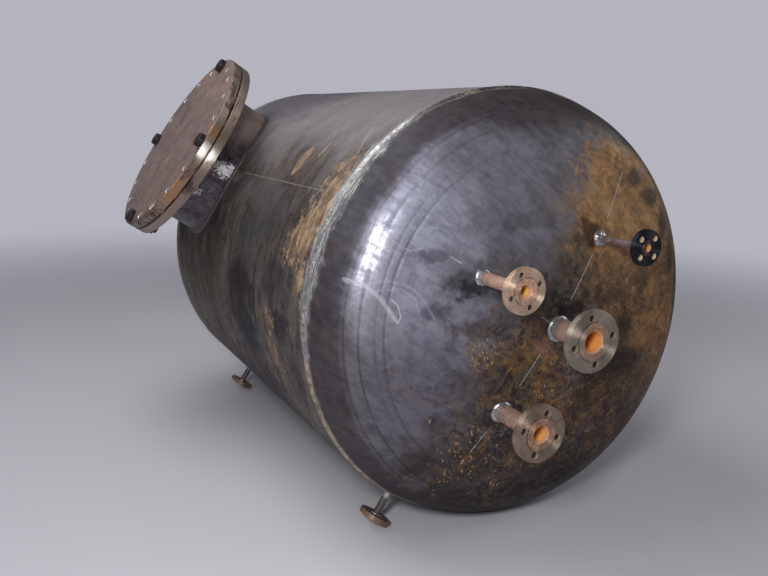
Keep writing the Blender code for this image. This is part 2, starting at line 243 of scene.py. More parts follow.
class Graph:
    def __init__(self, tree):
        self.tree = tree

    def feed(self, socket, value):
        if isinstance(value, bpy.types.NodeSocket):
            self.tree.links.new(value, socket)
        elif isinstance(value, tuple) and socket.type == "RGBA" and len(value) == 3:
            socket.default_value = (*value, 1.0)
        else:
            socket.default_value = value

    def add(self, kind, inputs=None, **settings):
        node = self.tree.nodes.new("ShaderNode" + kind)
        for key, value in settings.items():
            setattr(node, key, value)
        for key, value in (inputs or {}).items():
            self.feed(node.inputs[key], value)
        return node

    def calc(self, operation, first, second=0.5, clamp=False):
        return self.add("Math", {0: first, 1: second}, operation=operation, use_clamp=clamp).outputs[0]

    def plus(self, first, second, clamp=False):
        return self.calc("ADD", first, second, clamp)

    def minus(self, first, second):
        return self.calc("SUBTRACT", first, second)

    def times(self, first, second, clamp=False):
        return self.calc("MULTIPLY", first, second, clamp)

    def over(self, first, second, clamp=False):
        return self.calc("DIVIDE", first, second, clamp)

    def larger(self, first, second):
        return self.calc("MAXIMUM", first, second)

    def away(self, first, second):  # how far apart two values are
        return self.calc("ABSOLUTE", self.minus(first, second))

    def vector(self, operation, first, second=(0, 0, 0)):
        node = self.add("VectorMath", {0: first, 1: second}, operation=operation)
        return node.outputs[1 if operation in ("LENGTH", "DOT_PRODUCT") else 0]

    def length(self, vector):
        return self.vector("LENGTH", vector)

    def split(self, vector):
        return self.add("SeparateXYZ", {0: vector}).outputs

    def join(self, x, y=0.0, z=0.0):
        return self.add("CombineXYZ", {0: x, 1: y, 2: z}).outputs[0]

    def stretched(self, vector, scale):
        return self.add("Mapping", {"Vector": vector, "Scale": scale}).outputs[0]

    def turned(self, vector, angle, axis):
        return self.add("VectorRotate", {"Vector": vector, "Angle": angle}, rotation_type=axis).outputs[0]

    def soften(self, value, low, high, toLow=0.0, toHigh=1.0):
        inputs = {"Value": value, "From Min": low, "From Max": high, "To Min": toLow, "To Max": toHigh}
        return self.add("MapRange", inputs, interpolation_type="SMOOTHSTEP").outputs[0]

    def blend(self, share, first, second):
        return self.add("Mix", {0: share, 6: first, 7: second}, data_type="RGBA").outputs[2]

    def blendValue(self, share, first, second):
        return self.add("Mix", {0: share, 2: first, 3: second}, data_type="FLOAT").outputs[0]

    def grain(self, vector, scale, detail=3.0, roughness=0.55, distortion=0.0):
        inputs = {"Vector": vector, "Scale": scale, "Detail": detail, "Roughness": roughness}
        return self.add("TexNoise", {**inputs, "Distortion": distortion}).outputs[0]

    def group(self, name, **inputs):
        node = self.tree.nodes.new("ShaderNodeGroup")
        node.node_tree = bpy.data.node_groups[name]
        for key, value in inputs.items():
            self.feed(node.inputs[key], value)
        return node.outputs

    def spot(self, vector, centre, reach, ragged, grain):
        return self.group("softSpot", Vector=vector, Centre=centre, Reach=reach, Ragged=ragged,
                          Grain=grain)[0]

    def scale(self, vector, dark, light, scale, contrast):
        return self.group("rolledScale", Vector=vector, Dark=dark, Light=light, Scale=scale,
                          Contrast=contrast)

    def rust(self, vector, scale, amount, speckle, dark, light):
        return self.group("rustBloom", Vector=vector, Scale=scale, Amount=amount, Speckle=speckle,
                          Dark=dark, Light=light)

    def place(self):
        return self.add("TexCoord").outputs["Object"]

    def finished(self, colour, metal, rough, height, depth):  # depth is the bump's height in metres
        self.feed(self.shader.inputs["Base Color"], colour)
        self.feed(self.shader.inputs["Metallic"], metal)
        self.feed(self.shader.inputs["Roughness"], rough)
        bump = self.add("Bump", {"Height": height, "Distance": depth, "Strength": 1.0})
        self.feed(self.shader.inputs["Normal"], bump.outputs[0])
        return self.material


socketKinds = {"value": "NodeSocketFloat", "vector": "NodeSocketVector", "colour": "NodeSocketColor"}


def newGroup(name, inputs, outputs):
    tree = bpy.data.node_groups.new(name, "ShaderNodeTree")
    for label, kind, start in inputs:
        socket = tree.interface.new_socket(name=label, in_out="INPUT", socket_type=socketKinds[kind])
        if start is not None:
            socket.default_value = (*start, 1.0) if kind == "colour" else start
    for label, kind in outputs:
        tree.interface.new_socket(name=label, in_out="OUTPUT", socket_type=socketKinds[kind])
    graph = Graph(tree)
    graph.given = tree.nodes.new("NodeGroupInput").outputs
    graph.result = tree.nodes.new("NodeGroupOutput").inputs
    return graph


# Shared effects


def makeWrapped():  # metres along the tank, round it from the top, and out from its axis
    g = newGroup("wrapped", [("Vector", "vector", None), ("Radius", "value", tankRadius)],
                 [("Vector", "vector"), ("Out", "value")])
    parts = g.split(g.given["Vector"])
    angle = g.calc("ARCTAN2", g.times(parts[1], -1.0), parts[2])
    arc = g.times(angle, g.given["Radius"])
    out = g.length(g.join(0.0, parts[1], parts[2]))
    g.feed(g.result["Vector"], g.join(parts[0], arc, out))
    g.feed(g.result["Out"], out)


def makeScale():  # rolled scale: cloudy patches, rubbed smudges and fine tooth between two colours
    g = newGroup("rolledScale", [("Vector", "vector", None), ("Dark", "colour", (0.02, 0.02, 0.025)),
                                 ("Light", "colour", (0.08, 0.08, 0.09)), ("Scale", "value", 6.0),
                                 ("Contrast", "value", 1.0)],
                 [("Color", "colour"), ("Share", "value"), ("Height", "value")])
    vector, scale = g.given["Vector"], g.given["Scale"]
    cloud = g.grain(vector, scale, 7.0, 0.62, 1.2)
    smudge = g.grain(vector, g.times(scale, 3.6), 5.0, 0.60, 1.8)
    fine = g.grain(vector, g.times(scale, 26.0), 4.0, 0.65, 0.4)
    mixed = g.plus(g.times(cloud, 0.40), g.times(smudge, 0.28))
    mixed = g.plus(mixed, g.times(fine, 0.32))
    spread = g.over(0.15, g.given["Contrast"])
    share = g.soften(mixed, g.minus(0.5, spread), g.plus(0.5, spread))
    g.feed(g.result["Color"], g.blend(share, g.given["Dark"], g.given["Light"]))
    g.feed(g.result["Share"], share)
    g.feed(g.result["Height"], g.plus(g.times(fine, 0.5), g.times(smudge, 0.5)))


def makeRust():  # powdery rust: full where Amount is near 1, specks where it is near a half
    g = newGroup("rustBloom", [("Vector", "vector", None), ("Scale", "value", 9.0),
                               ("Amount", "value", 0.5), ("Speckle", "value", 0.5),
                               ("Dark", "colour", (0.06, 0.03, 0.015)),
                               ("Light", "colour", (0.30, 0.14, 0.04))],
                 [("Mask", "value"), ("Color", "colour"), ("Height", "value")])
    vector, scale = g.given["Vector"], g.given["Scale"]
    broad = g.minus(g.grain(vector, scale, 6.0, 0.62, 0.5), 0.5)
    speck = g.minus(g.grain(vector, g.times(scale, 12.0), 4.0, 0.66), 0.5)
    worn = g.plus(g.times(broad, 1.5), g.times(speck, g.times(g.given["Speckle"], 3.0)))
    mask = g.soften(g.plus(g.given["Amount"], worn), 0.35, 0.68)
    tone = g.plus(g.grain(vector, g.times(scale, 2.7), 6.0, 0.66, 0.8), g.times(speck, 0.35))
    g.feed(g.result["Mask"], mask)
    g.feed(g.result["Color"], g.blend(g.soften(tone, 0.36, 0.66), g.given["Dark"], g.given["Light"]))
    g.feed(g.result["Height"], g.times(mask, g.plus(speck, 0.6)))


def makeWisps():  # thin curling lines, such as rust run and rubbed about
    g = newGroup("thinWisps", [("Vector", "vector", None), ("Scale", "value", 6.0),
                               ("Width", "value", 0.03), ("Curl", "value", 1.6)], [("Mask", "value")])
    drawn = g.grain(g.given["Vector"], g.given["Scale"], 5.0, 0.6, g.given["Curl"])
    ridge = g.soften(g.calc("ABSOLUTE", g.minus(drawn, 0.5)), g.given["Width"], 0.0)
    broken = g.soften(g.grain(g.given["Vector"], g.times(g.given["Scale"], 3.0), 3.0), 0.45, 0.62)
    g.feed(g.result["Mask"], g.times(ridge, broken))


def makeSpot():  # a soft patch round a point, 1 inside and 0 outside, with a ragged edge
    g = newGroup("softSpot", [("Vector", "vector", None), ("Centre", "vector", (0, 0, 0)),
                              ("Reach", "vector", (0.1, 0.1, 0.1)), ("Ragged", "value", 0.5),
                              ("Grain", "value", 9.0)], [("Mask", "value")])
    shifted = g.vector("SUBTRACT", g.given["Vector"], g.given["Centre"])
    far = g.length(g.vector("DIVIDE", shifted, g.given["Reach"]))
    rough = g.minus(g.grain(g.given["Vector"], g.given["Grain"], 5.0, 0.65), 0.5)
    edge = g.plus(far, g.times(rough, g.times(g.given["Ragged"], 3.0)))
    g.feed(g.result["Mask"], g.soften(edge, 1.0, 0.35))


def makeStroke():  # a chalk or scriber line between two points
    g = newGroup("thinStroke", [("Vector", "vector", None), ("Start", "vector", (0, 0, 0)),
                                ("End", "vector", (0.1, 0, 0)), ("Width", "value", 0.0012),
                                ("Broken", "value", 0.4)], [("Mask", "value")])
    fromStart = g.vector("SUBTRACT", g.given["Vector"], g.given["Start"])
    whole = g.vector("SUBTRACT", g.given["End"], g.given["Start"])
    reach = g.vector("DOT_PRODUCT", fromStart, whole)
    square = g.vector("DOT_PRODUCT", whole, whole)
    share = g.over(reach, square, clamp=True)
    scaled = g.add("VectorMath", {0: whole, "Scale": share}, operation="SCALE").outputs[0]
    off = g.length(g.vector("SUBTRACT", fromStart, scaled))
    line = g.soften(off, g.given["Width"], g.times(g.given["Width"], 0.5))
    gaps = g.soften(g.grain(g.given["Vector"], 260.0, 2.0), 0.25, g.plus(0.26, g.given["Broken"]))
    g.feed(g.result["Mask"], g.times(line, gaps))


def makeDashes():  # short bright scratches, all one way
    g = newGroup("scratchDashes", [("Vector", "vector", None), ("Across", "value", 90.0),
                                   ("Along", "value", 16.0), ("Turn", "value", 0.6),
                                   ("Share", "value", 0.3)], [("Mask", "value")])
    parts = g.split(g.turned(g.given["Vector"], g.given["Turn"], "X_AXIS"))
    wobble = g.times(g.grain(g.given["Vector"], 26.0, 3.0), 0.022)
    side = g.times(g.plus(parts[1], wobble), g.given["Across"])
    run = g.times(g.plus(parts[2], wobble), g.given["Along"])
    cells = g.add("TexVoronoi", {"Vector": g.join(side, run), "Scale": 1.0},
                  voronoi_dimensions="2D").outputs
    chance = g.add("SeparateColor", {0: cells["Color"]}).outputs
    reach = g.soften(chance[1], 0.0, 1.0, 0.10, 0.34)
    dash = g.soften(g.over(cells["Distance"], reach), 1.0, 0.45)
    chosen = g.calc("LESS_THAN", chance[0], g.given["Share"])
    g.feed(g.result["Mask"], g.times(dash, chosen))


def makeWipedGrain():  # noise drawn out one way, as by a wiping hand or a dragged sling
    g = newGroup("wipedGrain", [("Vector", "vector", None), ("Turn", "value", 0.0),
                                ("Stretch", "vector", (1.0, 30.0, 7.0))], [("Share", "value")])
    sized = g.stretched(g.turned(g.given["Vector"], g.given["Turn"], "X_AXIS"), g.given["Stretch"])
    g.feed(g.result["Share"], g.grain(sized, 1.0, 6.0, 0.66, 1.0))


def makeLathed():  # machining rings round local Z
    g = newGroup("machinedRings", [("Vector", "vector", None), ("Pitch", "value", 0.0012)],
                 [("Height", "value"), ("Band", "value")])
    parts = g.split(g.given["Vector"])
    flat = g.join(parts[0], parts[1])
    out = g.length(flat)
    wave = g.calc("SINE", g.times(g.over(out, g.given["Pitch"]), 2 * math.pi))
    ringVector = g.join(out)
    band = g.grain(ringVector, 420.0, 3.0, 0.7)
    g.feed(g.result["Height"], g.plus(g.times(wave, 0.5), band))
    g.feed(g.result["Band"], band)


for makeEffect in (makeWrapped, makeScale, makeRust, makeWisps, makeSpot, makeStroke, makeDashes,
                   makeWipedGrain, makeLathed):
    makeEffect()
print("shared effects made:", len(bpy.data.node_groups))


def newMaterial(name, fixed=None):  # fixed values go on the shader's own sockets
    material = bpy.data.materials.new(name)
    material.use_nodes = True
    g = Graph(material.node_tree)
    g.material = material
    g.shader = material.node_tree.nodes["Principled BSDF"]
    for label, value in (fixed or {}).items():
        g.shader.inputs[label].default_value = value
    return g


def addSpots(g, vector, spots, ragged, grain):  # spots are (centre, reach, weight)
    total = 0.0
    for centre, reach, weight in spots:
        total = g.plus(g.times(g.spot(vector, centre, reach, ragged, grain), weight), total)
    return total


def tint(red, green, blue):  # a colour as a screen shows it, from 0 to 255
    linear = []
    for part in (red, green, blue):
        part /= 255
        linear.append(part / 12.92 if part <= 0.04045 else ((part + 0.055) / 1.055) ** 2.4)
    return tuple(linear)


def addTints(g, vector, colour, tints, grain):  # tints are (centre, reach, colour, weight, raggedness)
    for centre, reach, target, weight, ragged in tints:
        mask = g.times(g.spot(vector, centre, reach, ragged, grain), weight, clamp=True)
        colour = g.blend(mask, colour, target)
    return colour


def onShell(rows):  # rows are (along the tank, metres round from the top, reach in both, ...)
    return [((x, arc, tankRadius), (wide, long, 1), *rest) for x, arc, wide, long, *rest in rows]


def onHead(rows):  # rows are (x, y, z, reach in y and z, ...)
    return [((x, y, z), (1, wide, high), *rest) for x, y, z, wide, high, *rest in rows]


# Weld zone, on shell and head alike: brushed steel beside the round weld, widest towards the manway side

zoneLook = {
    "narrow": 0.016,                        # half the strip's width all the way round
    "wideCentre": (tankLook["seamX"], 0.70, tankRadius),     # along the tank, round from the top, radius
    "wideReach": (0.044, 0.48, 1.0),
    "colour": tint(210, 213, 213),
    "tan": tint(156, 142, 122),
}


def makeWeldZone():  # masks of the brushed strip and of the tan streaks in it
    look = zoneLook
    g = newGroup("weldZone", [("Vector", "vector", None), ("Around", "vector", None)],
                 [("Brushed", "value"), ("Tan", "value")])
    along = g.calc("ABSOLUTE", g.split(g.given["Vector"])[0])
    arc = g.split(g.given["Around"])[1]
    folded = g.join(along, arc, tankRadius)
    off = g.away(along, tankLook["seamX"])
    ragged = g.times(g.minus(g.grain(g.given["Around"], 30.0, 5.0, 0.7), 0.5), 0.04)
    narrow = g.soften(g.plus(off, ragged), look["narrow"] * 1.3, look["narrow"] * 0.5)
    wide = g.spot(folded, look["wideCentre"], look["wideReach"], 0.5, 22.0)
    drift = g.plus(along, g.times(g.grain(folded, 9.0, 4.0, 0.6), 0.012))
    lines = []     # fine and coarse brush lines along the weld
    for fineness, length in ((420.0, 26.0), (170.0, 11.0)):
        stretched = g.join(g.times(drift, fineness), g.times(arc, length))
        lines.append(g.grain(stretched, 1.0, 5.0, 0.66, 0.3))
    strokes = g.times(g.soften(lines[0], 0.44, 0.56), g.soften(lines[1], 0.40, 0.54))
    dull = g.times(narrow, g.soften(lines[1], 0.35, 0.65, 0.06, 0.30))
    g.feed(g.result["Brushed"], g.larger(g.times(wide, strokes), dull))
    tanShare = g.larger(narrow, g.times(wide, 0.8))
    g.feed(g.result["Tan"], g.times(tanShare, g.soften(lines[1], 0.54, 0.40, 0.15, 0.75)))


makeWeldZone()

# Shell steel. Places go along the tank from its middle, and round it from the top towards the manway side.

shellLook = {
    "dark": tint(44, 38, 41),
    "light": tint(110, 100, 95),
    "streakDark": tint(38, 30, 36),
    "streakLight": tint(126, 108, 88),
    "green": tint(80, 82, 74),
    # painted reflection: the shell's top is made a lighter grey, as if it reflected the light from above
    "topPaintedSheen": tint(154, 149, 152),
    "paintedSheenArc": (0.36, 0.66),        # the painted sheen on the top fades out between these, metres from the top
    "rustDark": tint(116, 94, 72),
    "rustLight": tint(212, 178, 142),
    "rustSpots": onShell([     # along, round, reach in both, weight
        (0.64, 0.60, 0.11, 0.20, 0.62),
        (0.62, 0.76, 0.13, 0.20, 0.66),
        (0.50, 0.78, 0.14, 0.10, 0.34),
        (0.46, 0.60, 0.18, 0.10, 0.34),
        (0.66, 1.05, 0.04, 0.34, 0.40),
        (0.40, 1.04, 0.11, 0.12, 0.56),
        (0.45, 1.17, 0.10, 0.12, 0.52),
        (0.58, 1.32, 0.12, 0.12, 0.40),
        (0.325, 0.545, 0.034, 0.070, 0.95),
        (0.420, 0.500, 0.014, 0.050, 0.80),
        (-0.10, 1.02, 0.12, 0.12, 0.36),
        (-0.45, 1.20, 0.30, 0.30, 0.34),
        (-0.05, 1.38, 0.40, 0.20, 0.34),
        (0.0, -1.0, 0.9, 0.9, 0.26),
        (0.0, 1.95, 0.9, 0.4, 0.26),
    ]),
    "tints": onShell([         # along, round, reach in both, colour, weight, raggedness
        (0.16, 1.10, 0.22, 0.20, tint(20, 12, 24), 1.00, 0.6),
        (0.18, 0.98, 0.17, 0.11, tint(32, 26, 34), 0.85, 0.7),
        (0.55, 1.03, 0.15, 0.07, tint(40, 32, 42), 0.85, 0.8),
        (0.48, 0.92, 0.14, 0.08, tint(52, 50, 54), 0.60, 0.8),
        (0.26, 0.80, 0.22, 0.10, tint(74, 76, 76), 0.55, 0.7),
        (0.62, 1.16, 0.07, 0.10, tint(44, 36, 42), 0.75, 0.7),
        (0.25, 1.30, 0.20, 0.12, tint(48, 36, 42), 0.75, 0.7),
        (-0.30, 1.05, 0.40, 0.25, tint(74, 66, 52), 0.55, 0.7),
        (-0.25, 1.30, 0.50, 0.12, tint(60, 42, 38), 0.60, 0.7),
        (-0.45, 0.15, 0.60, 0.40, tint(92, 89, 97), 0.75, 0.4),
        (0.20, 0.68, 0.30, 0.09, tint(96, 91, 95), 0.55, 0.6),
        # these two rows darken the shell towards the bottom: painted shade
        (0.05, 1.36, 0.60, 0.16, tint(46, 32, 42), 0.80, 0.7),
        (0.0, 1.52, 0.90, 0.22, tint(44, 34, 40), 0.85, 0.5),
    ]),
    "chalk": tint(200, 196, 190),
}


def makeShellSteel():
    look = shellLook
    g = newMaterial("shellSteel", {"Specular IOR Level": 0.2})
    vector = g.place()
    around = g.group("wrapped", Vector=vector)["Vector"]
    streaked = g.stretched(around, (2.0, 0.95, 1.0))
    scale = g.scale(streaked, look["dark"], look["light"], 4.6, 1.15)
    green = g.soften(g.grain(streaked, 3.1, 5.0, 0.6, 1.0), 0.50, 0.66)
    base = g.blend(g.times(green, 0.55), scale["Color"], look["green"])
    run = g.grain(g.stretched(around, (20.0, 3.2, 1.0)), 1.0, 7.0, 0.66, 1.2)
    base = g.blend(g.soften(run, 0.50, 0.66, 0.0, 0.65), base, look["streakDark"])
    base = g.blend(g.soften(run, 0.46, 0.34, 0.0, 0.45), base, look["streakLight"])
    # painted sheen: a lighter grey laid on the shell's top, standing in for the reflection of the light from
    # above
    arc = g.calc("ABSOLUTE", g.split(around)[1])
    edge = g.plus(arc, g.times(g.minus(g.grain(around, 5.0, 7.0, 0.66), 0.5), 0.45))
    high, low = look["paintedSheenArc"]
    topSheenShare = g.times(g.soften(edge, low, high), g.soften(scale["Share"], 0.0, 1.0, 0.70, 0.95))
    base = g.blend(topSheenShare, base, look["topPaintedSheen"])
    base = addTints(g, around, base, look["tints"], 12.0)
    amount = addSpots(g, around, look["rustSpots"], 0.6, 12.0)
    feathered = g.stretched(around, (1.9, 0.8, 1.0))
    rust = g.rust(feathered, 9.0, g.plus(amount, -0.14), 0.5, look["rustDark"], look["rustLight"])
    rustMask = g.times(rust["Mask"], g.soften(run, 0.30, 0.60, 0.92, 0.55))
    colour = g.blend(rustMask, base, rust["Color"])

    zone = g.group("weldZone", Vector=vector, Around=around)
    colour = g.blend(g.times(zone["Tan"], 0.6), colour, zoneLook["tan"])
    brushed = zone["Brushed"]
    colour = g.blend(brushed, colour, zoneLook["colour"])

    lineY, lineZ = manwayWay.y * tankRadius, manwayWay.z * tankRadius
    scriber = g.group("thinStroke", Vector=vector, Start=(-0.09, lineY, lineZ), End=(0.60, lineY, lineZ),
                      Width=0.0011, Broken=0.40)[0]
    tick = g.group("thinStroke", Vector=around, Start=(0.58, 0.40, tankRadius),
                   End=(0.64, 0.50, tankRadius), Width=0.0020, Broken=0.25)[0]
    chalk = g.plus(scriber, tick, clamp=True)
    colour = g.blend(g.times(chalk, 0.8), colour, look["chalk"])
    bare = g.minus(1.0, g.larger(rustMask, chalk))
    metal = g.times(bare, g.blendValue(brushed, 0.22, 0.45))
    scaleRough = g.soften(scale["Share"], 0.0, 1.0, 0.62, 0.46)
    rough = g.blendValue(rustMask, g.blendValue(brushed, scaleRough, 0.34), 0.8)
    height = g.plus(scale["Height"], g.times(run, 0.5))
    return g.finished(colour, metal, rough, height, 0.0012)


# Head steel. Places are in the tank's own axes, in metres; x hardly matters on a head.

headLook = {
    "dark": tint(66, 63, 66),
    "light": tint(124, 121, 126),
    "edgeBrown": tint(52, 46, 52),
    "edgeRust": tint(96, 68, 54),
    "edgeRadius": 0.560,           # past this the scale turns brown
    "tints": onHead([              # x, y, z, reach in y and z, colour, weight, raggedness
        (0.9, -0.13, 0.36, 0.38, 0.25, tint(130, 129, 142), 0.72, 0.35),
        # the next two rows: lighter blue-grey round the key light's reflection, partly scuffed scale and
        # partly painted highlight
        (0.9, -0.42, 0.26, 0.24, 0.34, tint(161, 163, 181), 0.75, 0.30),
        (0.9, -0.36, 0.05, 0.24, 0.22, tint(142, 143, 157), 0.70, 0.35),
        (0.9, -0.38, -0.15, 0.20, 0.22, tint(98, 97, 112), 0.60, 0.40),
        (0.9, 0.40, 0.05, 0.46, 0.62, tint(96, 75, 56), 1.00, 0.25),
        (0.9, 0.08, 0.19, 0.15, 0.16, tint(90, 80, 68), 0.70, 0.50),
        (0.9, 0.03, 0.11, 0.11, 0.10, tint(66, 66, 66), 0.60, 0.50),
        (0.9, -0.06, -0.13, 0.24, 0.20, tint(76, 64, 52), 0.90, 0.40),
        # the next two rows darken the head towards the bottom: painted shade
        (0.9, -0.08, -0.42, 0.58, 0.26, tint(54, 47, 48), 0.85, 0.35),
        (0.8, 0.00, -0.56, 0.60, 0.14, tint(36, 30, 36), 0.90, 0.30),
        (0.9, 0.20, -0.24, 0.26, 0.16, tint(66, 50, 38), 0.85, 0.45),
        (0.9, 0.30, -0.38, 0.28, 0.16, tint(60, 47, 42), 0.80, 0.45),
        (0.7, 0.00, 0.57, 0.42, 0.09, tint(72, 66, 70), 0.80, 0.25),
        (0.9, -0.28, 0.14, 0.13, 0.040, tint(78, 76, 86), 0.85, 1.10),
        (0.9, -0.36, 0.20, 0.08, 0.025, tint(88, 88, 100), 0.75, 1.20),
        (0.9, -0.34, 0.06, 0.08, 0.030, tint(84, 84, 98), 0.75, 1.10),
        (0.9, -0.22, 0.01, 0.12, 0.035, tint(76, 70, 70), 0.75, 1.00),
        (0.9, -0.10, 0.28, 0.12, 0.030, tint(90, 86, 92), 0.60, 1.20),
        (0.9, 0.06, 0.36, 0.16, 0.12, tint(98, 90, 88), 0.50, 0.60),
        (0.9, 0.17, 0.22, 0.16, 0.20, tint(104, 84, 62), 0.80, 0.50),
        (0.9, 0.27, 0.31, 0.27, 0.25, tint(154, 121, 86), 0.90, 0.45),
    ]),
    "rustDark": tint(112, 84, 56),
    "rustLight": tint(176, 132, 84),
    "rustSpots": onHead([          # x, y, z, reach in y and z, weight
        (0.9, 0.28, 0.31, 0.24, 0.23, 0.85),
        (0.9, 0.15, 0.43, 0.14, 0.08, 0.66),
        (0.9, 0.42, 0.10, 0.18, 0.28, 0.66),
        (0.9, 0.20, 0.10, 0.17, 0.17, 0.55),
        (0.9, 0.09, 0.24, 0.10, 0.12, 0.48),
        (0.9, 0.33, -0.10, 0.20, 0.14, 0.50),
        (0.8, 0.48, -0.14, 0.10, 0.20, 0.50),
        (0.9, -0.05, -0.04, 0.08, 0.07, 0.50),
        (0.9, -0.04, -0.15, 0.12, 0.12, 0.30),
        (0.9, 0.04, -0.19, 0.10, 0.12, 0.26),
        (0.9, -0.20, -0.20, 0.10, 0.16, 0.30),
        (0.9, 0.10, -0.30, 0.18, 0.12, 0.36),
        (0.5, 0.30, -0.62, 0.40, 0.12, 0.30),
    ]),
    "brownSpots": onHead([         # dull places, where the scale shines less: the same columns
        (0.9, 0.40, 0.05, 0.50, 0.66, 1.0),
        (0.9, 0.14, 0.24, 0.18, 0.22, 0.9),
        (0.9, -0.04, -0.14, 0.26, 0.24, 0.9),
        (0.9, 0.05, -0.50, 0.70, 0.26, 0.7),
    ]),
    "overTints": onHead([          # laid over the rust: the same columns as tints
        (0.8, 0.310, 0.390, 0.060, 0.035, tint(56, 46, 42), 0.75, 0.60),
        (0.8, 0.380, 0.335, 0.050, 0.042, tint(52, 42, 38), 0.85, 0.60),
        (0.8, 0.445, 0.255, 0.036, 0.070, tint(48, 38, 36), 0.85, 0.60),
        (0.7, 0.485, 0.150, 0.028, 0.090, tint(56, 44, 38), 0.75, 0.60),
        (0.7, 0.545, 0.06, 0.030, 0.28, tint(58, 44, 38), 0.70, 0.40),
        (0.9, 0.36, -0.07, 0.14, 0.045, tint(128, 94, 60), 0.60, 0.50),
        (0.9, 0.30, -0.14, 0.15, 0.050, tint(44, 34, 30), 0.80, 0.50),
        (0.9, 0.20, 0.07, 0.11, 0.050, tint(54, 43, 36), 0.60, 0.60),
        (0.9, 0.27, -0.03, 0.05, 0.060, tint(44, 34, 30), 0.75, 0.50),
        (0.9, -0.045, -0.045, 0.050, 0.036, tint(136, 100, 84), 0.75, 1.20),
        (0.9, 0.14, -0.20, 0.05, 0.10, tint(48, 38, 34), 0.60, 0.60),
        # darker low on the right: painted shade
        (0.7, 0.30, -0.50, 0.30, 0.06, tint(36, 30, 32), 0.75, 0.40),
    ]),
    "scorches": onHead([           # round the nozzles' feet: the same columns as rustSpots
        (0.9, -0.258, 0.112, 0.056, 0.036, 1.0),
        (0.9, -0.228, 0.090, 0.070, 0.026, 0.5),
        (0.9, 0.112, 0.248, 0.070, 0.052, 1.2),
        (0.9, 0.052, 0.040, 0.064, 0.040, 1.2),
        (0.9, 0.000, -0.020, 0.050, 0.060, 0.6),
        (0.9, -0.150, -0.245, 0.055, 0.055, 0.9),
    ]),
    "orange": tint(132, 90, 50),
    "plum": tint(44, 34, 48),
    "olive": tint(116, 98, 62),
    "soot": tint(34, 29, 36),
    "scorch": tint(14, 11, 15),
    "wispColour": tint(176, 124, 70),
    "goldColour": tint(222, 180, 108),
    "fieldCentre": (0.9, 0.05, -0.18),     # where the lower head's colours wander
    "fieldReach": (1, 0.53, 0.47),
    "wipes": [(-0.75, (1.0, 30.0, 7.0)), (0.45, (1.0, 9.0, 40.0))],     # turn, how fine each way
    # painted highlight: the glare's place and colour, where the key light's reflection falls on the left
    # knuckle
    "glareCentre": (0.8, -0.510, 0.180),
    "glareReach": (1.0, 0.105, 0.230),
    "glareColour": tint(168, 168, 180),
    "pressRings": [(0.478, 0.0045, 0.0007), (0.500, 0.0035, 0.0004), (0.537, 0.0050, 0.0008),
                   (0.568, 0.0045, 0.0008), (0.580, 0.0030, 0.0004)],     # radius, half width, depth
    "ringDark": tint(40, 38, 44),
    "chalk": tint(214, 216, 224),
    "lineGaps": [(-0.400, -0.335), (-0.185, -0.085), (0.085, 0.222), (0.335, 0.480)],
    "crossGaps": [(-0.060, -0.022), (-0.370, -0.340)],
    "rubMarks": [                  # half width, strength, then the places passed
        (0.0023, 0.66, [(-0.556, 0.142), (-0.527, 0.133), (-0.492, 0.103), (-0.465, 0.068), (-0.446, 0.036),
                       (-0.438, 0.052), (-0.446, 0.082), (-0.461, 0.096)]),
        (0.0080, 0.40, [(-0.560, 0.142), (-0.520, 0.130), (-0.485, 0.097), (-0.452, 0.045)]),
        (0.0044, 0.20, [(-0.527, 0.133), (-0.472, 0.144), (-0.417, 0.128), (-0.383, 0.096), (-0.356, 0.048)]),
        (0.0034, 0.22, [(-0.500, 0.118), (-0.440, 0.122), (-0.405, 0.100), (-0.392, 0.060)]),
        (0.0034, 0.22, [(-0.455, 0.240), (-0.415, 0.215), (-0.385, 0.222)]),
    ],
}
goldLook = onHead([     # gold dashes: x, y, z, reach in y and z, turn, along, across, share
    (0.9, -0.205, -0.060, 0.080, 0.065, -0.45, 44.0, 210.0, 0.60),
    (0.9, -0.355, -0.235, 0.035, 0.030, 0.75, 26.0, 210.0, 0.50),
    (0.9, -0.215, -0.330, 0.140, 0.130, -0.60, 44.0, 190.0, 0.30),
    (0.9, -0.160, -0.420, 0.300, 0.120, 0.35, 50.0, 200.0, 0.12),
    (0.9, 0.040, -0.170, 0.200, 0.170, -0.20, 48.0, 220.0, 0.16),
    (0.9, 0.110, 0.430, 0.120, 0.060, -0.40, 90.0, 210.0, 0.35),
])


def shadedBy(g, share, colour, deep, high):  # darker where share is low, lighter where it is high
    shade = g.soften(share, 0.12, 0.88, deep, high)
    return g.add("Mix", {0: 1.0, 6: colour, 7: shade}, data_type="RGBA", blend_type="OVERLAY").outputs[2]


def addChalk(g, vector):  # the scribed lines and rubbed marks on the front head
    look = headLook
    strokes = []
    faceOn = g.stretched(vector, (0.0, 1.0, 1.0))
    for way, gaps in ((-shellNozzleWay, look["lineGaps"]), (-manwayWay, look["crossGaps"])):
        for start, end in gaps:
            strokes.append((way * start, way * end, 0.0014, 0.9))
    for width, strength, path in look["rubMarks"]:
        for start, end in zip(path, path[1:]):
            strokes.append((Vector((0, *start)), Vector((0, *end)), width, strength))
    chalk = 0.0
    for start, end, width, strength in strokes:
        start.x = end.x = 0.0
        line = g.group("thinStroke", Vector=faceOn, Start=tuple(start), End=tuple(end), Width=width,
                       Broken=0.30)
        chalk = g.larger(g.times(line[0], strength), chalk)
    return chalk


